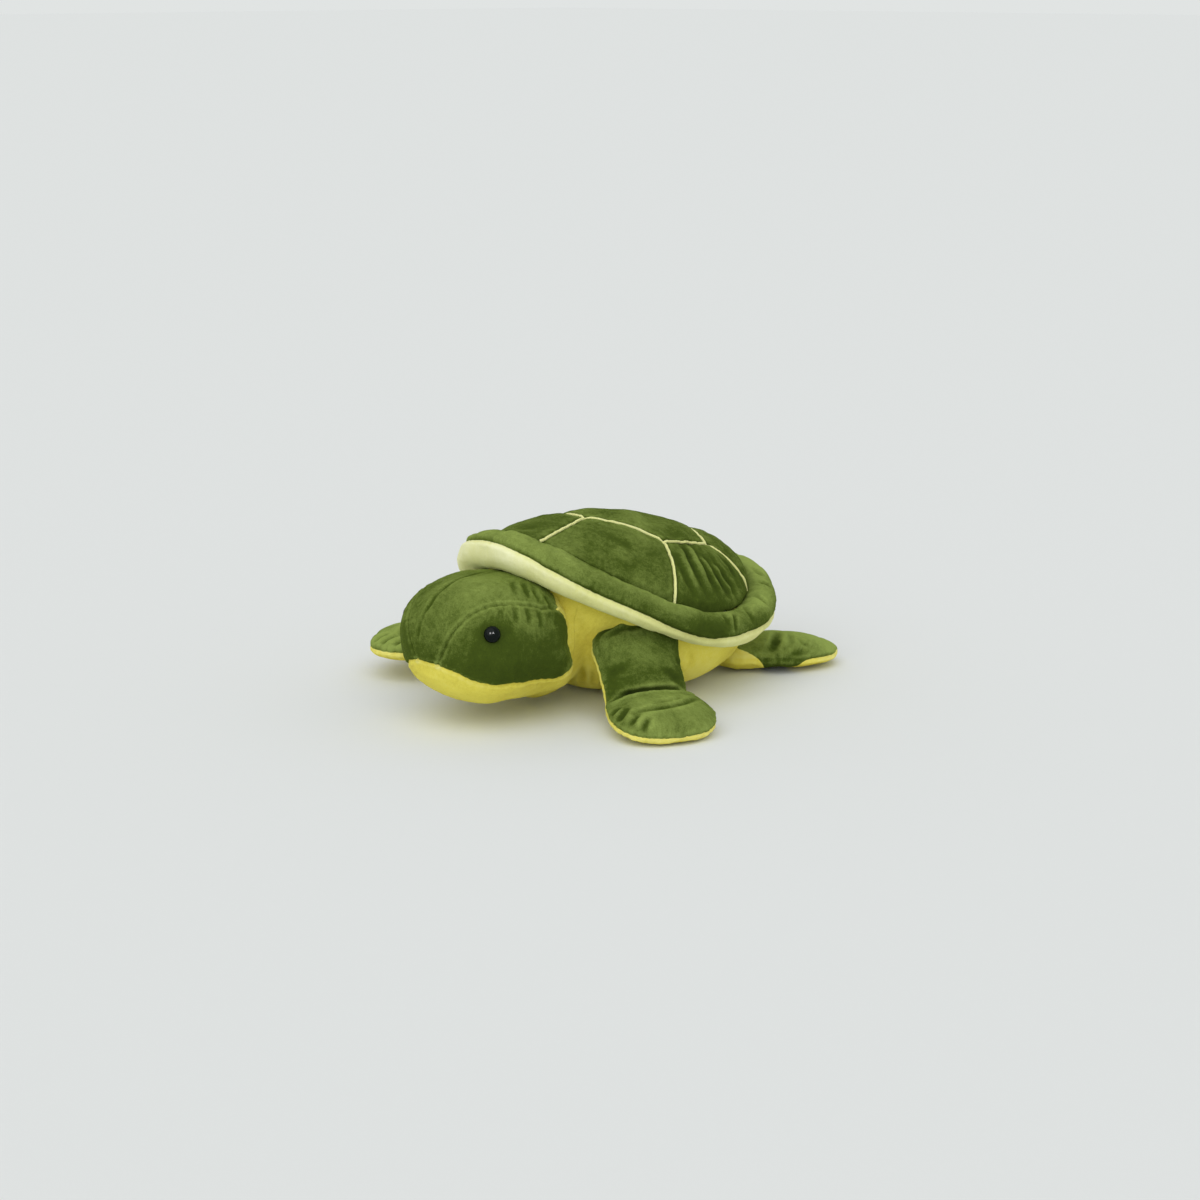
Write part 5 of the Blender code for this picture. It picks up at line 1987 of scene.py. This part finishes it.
@dataclass
class RearFlipper:
    """A flat rear flipper that lies on the floor."""

    side: Side
    view: PhotoView
    filling: Filling = Filling(voxel=0.0034, pressure=4.0, slack=0.03, travel=0.0035)
    stitch: Stitch = Stitch(0.0010, 0.0022, 0.4, Pucker(0.0009, 0.009, 0.0095), 0.20, 0.0060)
    core_depth: float = 0.005
    hip: Place = (0.053, 0.104, 0.0168)
    hip_reach: tuple[float, float] = (0.006, 0.018)
    azimuth: float = 57.0
    slope: float = 1.5
    length: float = 0.118
    table: Table = (
        (-0.12, 0.018, 0.0105, 0.0115), (0.0, 0.031, 0.0140, 0.0140), (0.20, 0.0345, 0.0150, 0.0145),
        (0.42, 0.0395, 0.0165, 0.0145), (0.64, 0.0385, 0.0150, 0.0140), (0.84, 0.0295, 0.0105, 0.0120),
        (0.95, 0.0175, 0.0060, 0.0085), (1.0, 0.0060, 0.0020, 0.0040),
    )
    fold_place: float = 0.047
    fold_width: float = 0.015
    fold_drop: float = 0.030
    thigh_length: float = 0.035
    thigh_rise: float = 0.012
    creases: tuple[Crease, ...] = (
        Crease(((778, 630), (776, 640), (770, 654)), 0.0034, 0.0042),
        Crease(((788, 632), (792, 639), (793, 647)), 0.0014, 0.0030),
        Crease(((783, 661), (795, 653), (812, 650)), 0.0014, 0.0034),
        Crease(((797, 637), (803, 643), (812, 647)), 0.0010, 0.0030),
    )

    def build(self) -> None:
        """Make the two panels."""
        heading = self.azimuth if self.side is Side.LEFT else 180.0 - self.azimuth
        x, y, z = self.hip
        limb = LimbFrame((self.side.value * x, y, z), self.slope, heading)
        rows = np.array([[a * self.length, *ease(self.table, a)] for a in np.linspace(-0.12, 1.0, 36)])
        form = SoftForm("rear_form_" + self.side.word, [lens_loft(rows, limb.matrix())])
        form.remesh(self.filling.voxel)
        edges = [self.edge_line(limb, side) for side in (1.0, -1.0)]
        points = form.points
        held = form.near(edges, self.filling.hold())
        held |= limb.local(points)[:, 0] < 0.004
        held |= points[:, 2] < FLOOR_HOLD
        form.stuff(self.filling, held)
        core = form.core("rear_fibre_" + self.side.word, self.core_depth)
        form.refine(self.filling.refine)
        # Painted light on upward faces, painted shade on downward ones
        form.start_sculpting(top_light=0.30)
        # Painted highlight along the flipper's middle
        middle = [(self.length * place, 0.0, 0.016) for place in (0.50, 0.70, 0.90)]
        form.brush(limb.world(middle), amount=0.26, width=0.028)
        for number, line in enumerate(edges):
            form.sew(line, self.stitch, seed=90.0 + number + self.side.value)
        for crease in self.creases:
            line = self.view.onto(form.tree(), crease.path, self.side is Side.RIGHT)
            form.groove(line, crease.depth, crease.width, crease.lip)
        form.lumps(height=0.0010, spacing=0.022, seed=21.0 + self.side.value)
        form.keep_above(FLOOR_GAP)
        form.cut(lambda points: self.over_seam(points, limb))
        over = self.over_seam(form.centres(), limb) > 0
        word = self.side.word
        start, end = limb.about_joint(self.hip_reach)
        pieces = (("rear_back_", over, GREEN, "top_"), ("rear_under_", ~over, YELLOW, "underside_"))
        for name, chosen, finish, node in pieces:
            item = form.panel(name + word, chosen, CLOTH)
            dress(item, finish, ("rear_flipper_" + node + word,))
            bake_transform(item)
        dress(core, FIBRE, ("rear_flipper_stuffing_" + word,))
        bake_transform(core)
        form.discard()

    def edge_line(self, limb: LimbFrame, side: float) -> Array:
        """One edge seam, on the side of the limb's frame that a sign gives."""
        places = np.linspace(0.0, 1.0, 30)
        return limb.world([(a * self.length, side * ease(self.table, a)[0], 0.0) for a in places])

    def over_seam(self, points: Array, limb: LimbFrame) -> Array:
        """Height over the edge seam, which rises at the thigh and drops at the fold."""
        local = limb.local(points)
        fold = np.exp(-(((local[:, 0] - self.fold_place) / self.fold_width) ** 2))
        thigh = np.clip(1.0 - local[:, 0] / self.thigh_length, 0.0, 1.0)
        level = local[:, 2] + self.fold_drop * fold - self.thigh_rise * thigh
        return level + ragged(points, fineness=450.0, amount=0.0005)


@dataclass
class Studio:
    """A pale floor, soft light and the photograph's camera."""

    view: PhotoView
    backdrop: Colour = (0.752, 0.776, 0.768)
    floor_colour: Colour = (0.78, 0.805, 0.797)
    floor_half: float = 40.0
    sun_strength: float = 1.35
    sun_spread: float = 80.0
    world_strength: float = 0.62
    sun_direction: Place = (-0.35, 0.62, -0.80)
    glint_places: tuple[Place, ...] = ((0.9, -1.3, 0.9), (1.35, -0.75, 0.95))
    glint_target: Place = (0.0, -0.1, 0.08)
    glint_size: float = 0.40
    glint_energy: float = 20.0

    def build(self) -> None:
        """Make the camera, the lights, the world and the floor."""
        scene = bpy.context.scene
        camera = bpy.data.cameras.new("photo_camera")
        camera.lens = self.view.lens()
        camera.sensor_width = self.view.sensor
        camera.clip_start = 0.05
        camera.clip_end = 200.0
        item = link("photo_camera", camera)
        item.location = self.view.place()
        item.rotation_mode = "QUATERNION"
        item.rotation_quaternion = (-self.view.back()).to_track_quat("-Z", "Y")
        scene.camera = item
        scene.view_settings.view_transform = "Standard"
        self.lights()
        self.world()
        self.floor()

    def lights(self) -> None:
        """A broad soft light from above, and two small ones that glint in the eyes."""
        sun = bpy.data.lights.new("broad_light", "SUN")
        sun.energy = self.sun_strength
        sun.angle = math.radians(self.sun_spread)
        item = link("broad_light", sun)
        item.rotation_mode = "QUATERNION"
        item.rotation_quaternion = Vector(self.sun_direction).normalized().to_track_quat("-Z", "Y")
        for name, place in zip(("glint_left", "glint_right"), self.glint_places):
            lamp = bpy.data.lights.new(name, "AREA")
            lamp.size = self.glint_size
            lamp.energy = self.glint_energy
            holder = link(name, lamp)
            holder.location = place
            holder.visible_diffuse = False
            holder.rotation_mode = "QUATERNION"
            holder.rotation_quaternion = (Vector(self.glint_target) - Vector(place)).to_track_quat("-Z", "Y")

    def world(self) -> None:
        """A pale world that camera and glossy rays see at the backdrop's own colour."""
        world = bpy.data.worlds.new("studio")
        bpy.context.scene.world = world
        world.use_nodes = True
        nodes, links = world.node_tree.nodes, world.node_tree.links
        back = nodes["Background"]
        back.inputs["Color"].default_value = (1.0, 1.0, 1.0, 1.0)
        back.inputs["Strength"].default_value = self.world_strength
        seen = nodes.new("ShaderNodeBackground")
        seen.inputs["Color"].default_value = (*self.backdrop, 1.0)
        path = nodes.new("ShaderNodeLightPath")
        either = nodes.new("ShaderNodeMath")
        either.operation = "MAXIMUM"
        links.new(path.outputs["Is Camera Ray"], either.inputs[0])
        links.new(path.outputs["Is Glossy Ray"], either.inputs[1])
        mix = nodes.new("ShaderNodeMixShader")
        links.new(either.outputs["Value"], mix.inputs["Fac"])
        links.new(back.outputs["Background"], mix.inputs[1])
        links.new(seen.outputs["Background"], mix.inputs[2])
        links.new(mix.outputs["Shader"], nodes["World Output"].inputs["Surface"])

    def floor(self) -> None:
        """A wide plain floor."""
        deselect()
        bpy.ops.mesh.primitive_plane_add(size=2 * self.floor_half, location=(0.0, 0.0, 0.0))
        item = bpy.context.active_object
        item.name = "studio_floor"
        made = bpy.data.materials.new("studio_floor")
        made.use_nodes = True
        shader = made.node_tree.nodes["Principled BSDF"]
        shader.inputs["Base Color"].default_value = (*self.floor_colour, 1.0)
        shader.inputs["Roughness"].default_value = 1.0
        shader.inputs["Specular IOR Level"].default_value = 0.0
        item.data.materials.append(made)


def main() -> None:
    """Build the studio and then each part of the turtle, and log each piece's faces and finish."""
    logging.basicConfig(level=logging.INFO, format="%(message)s")
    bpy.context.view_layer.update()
    view = PhotoView()
    Studio(view).build()
    torso = TorsoShape()
    Shell(torso, view).build()
    Rim(torso, view).build()
    Trunk(torso, view).build()
    Head(view).build()
    for side in Side:
        FrontFlipper(side, view).build()
        RearFlipper(side, view).build()


if __name__ == "__main__":
    main()
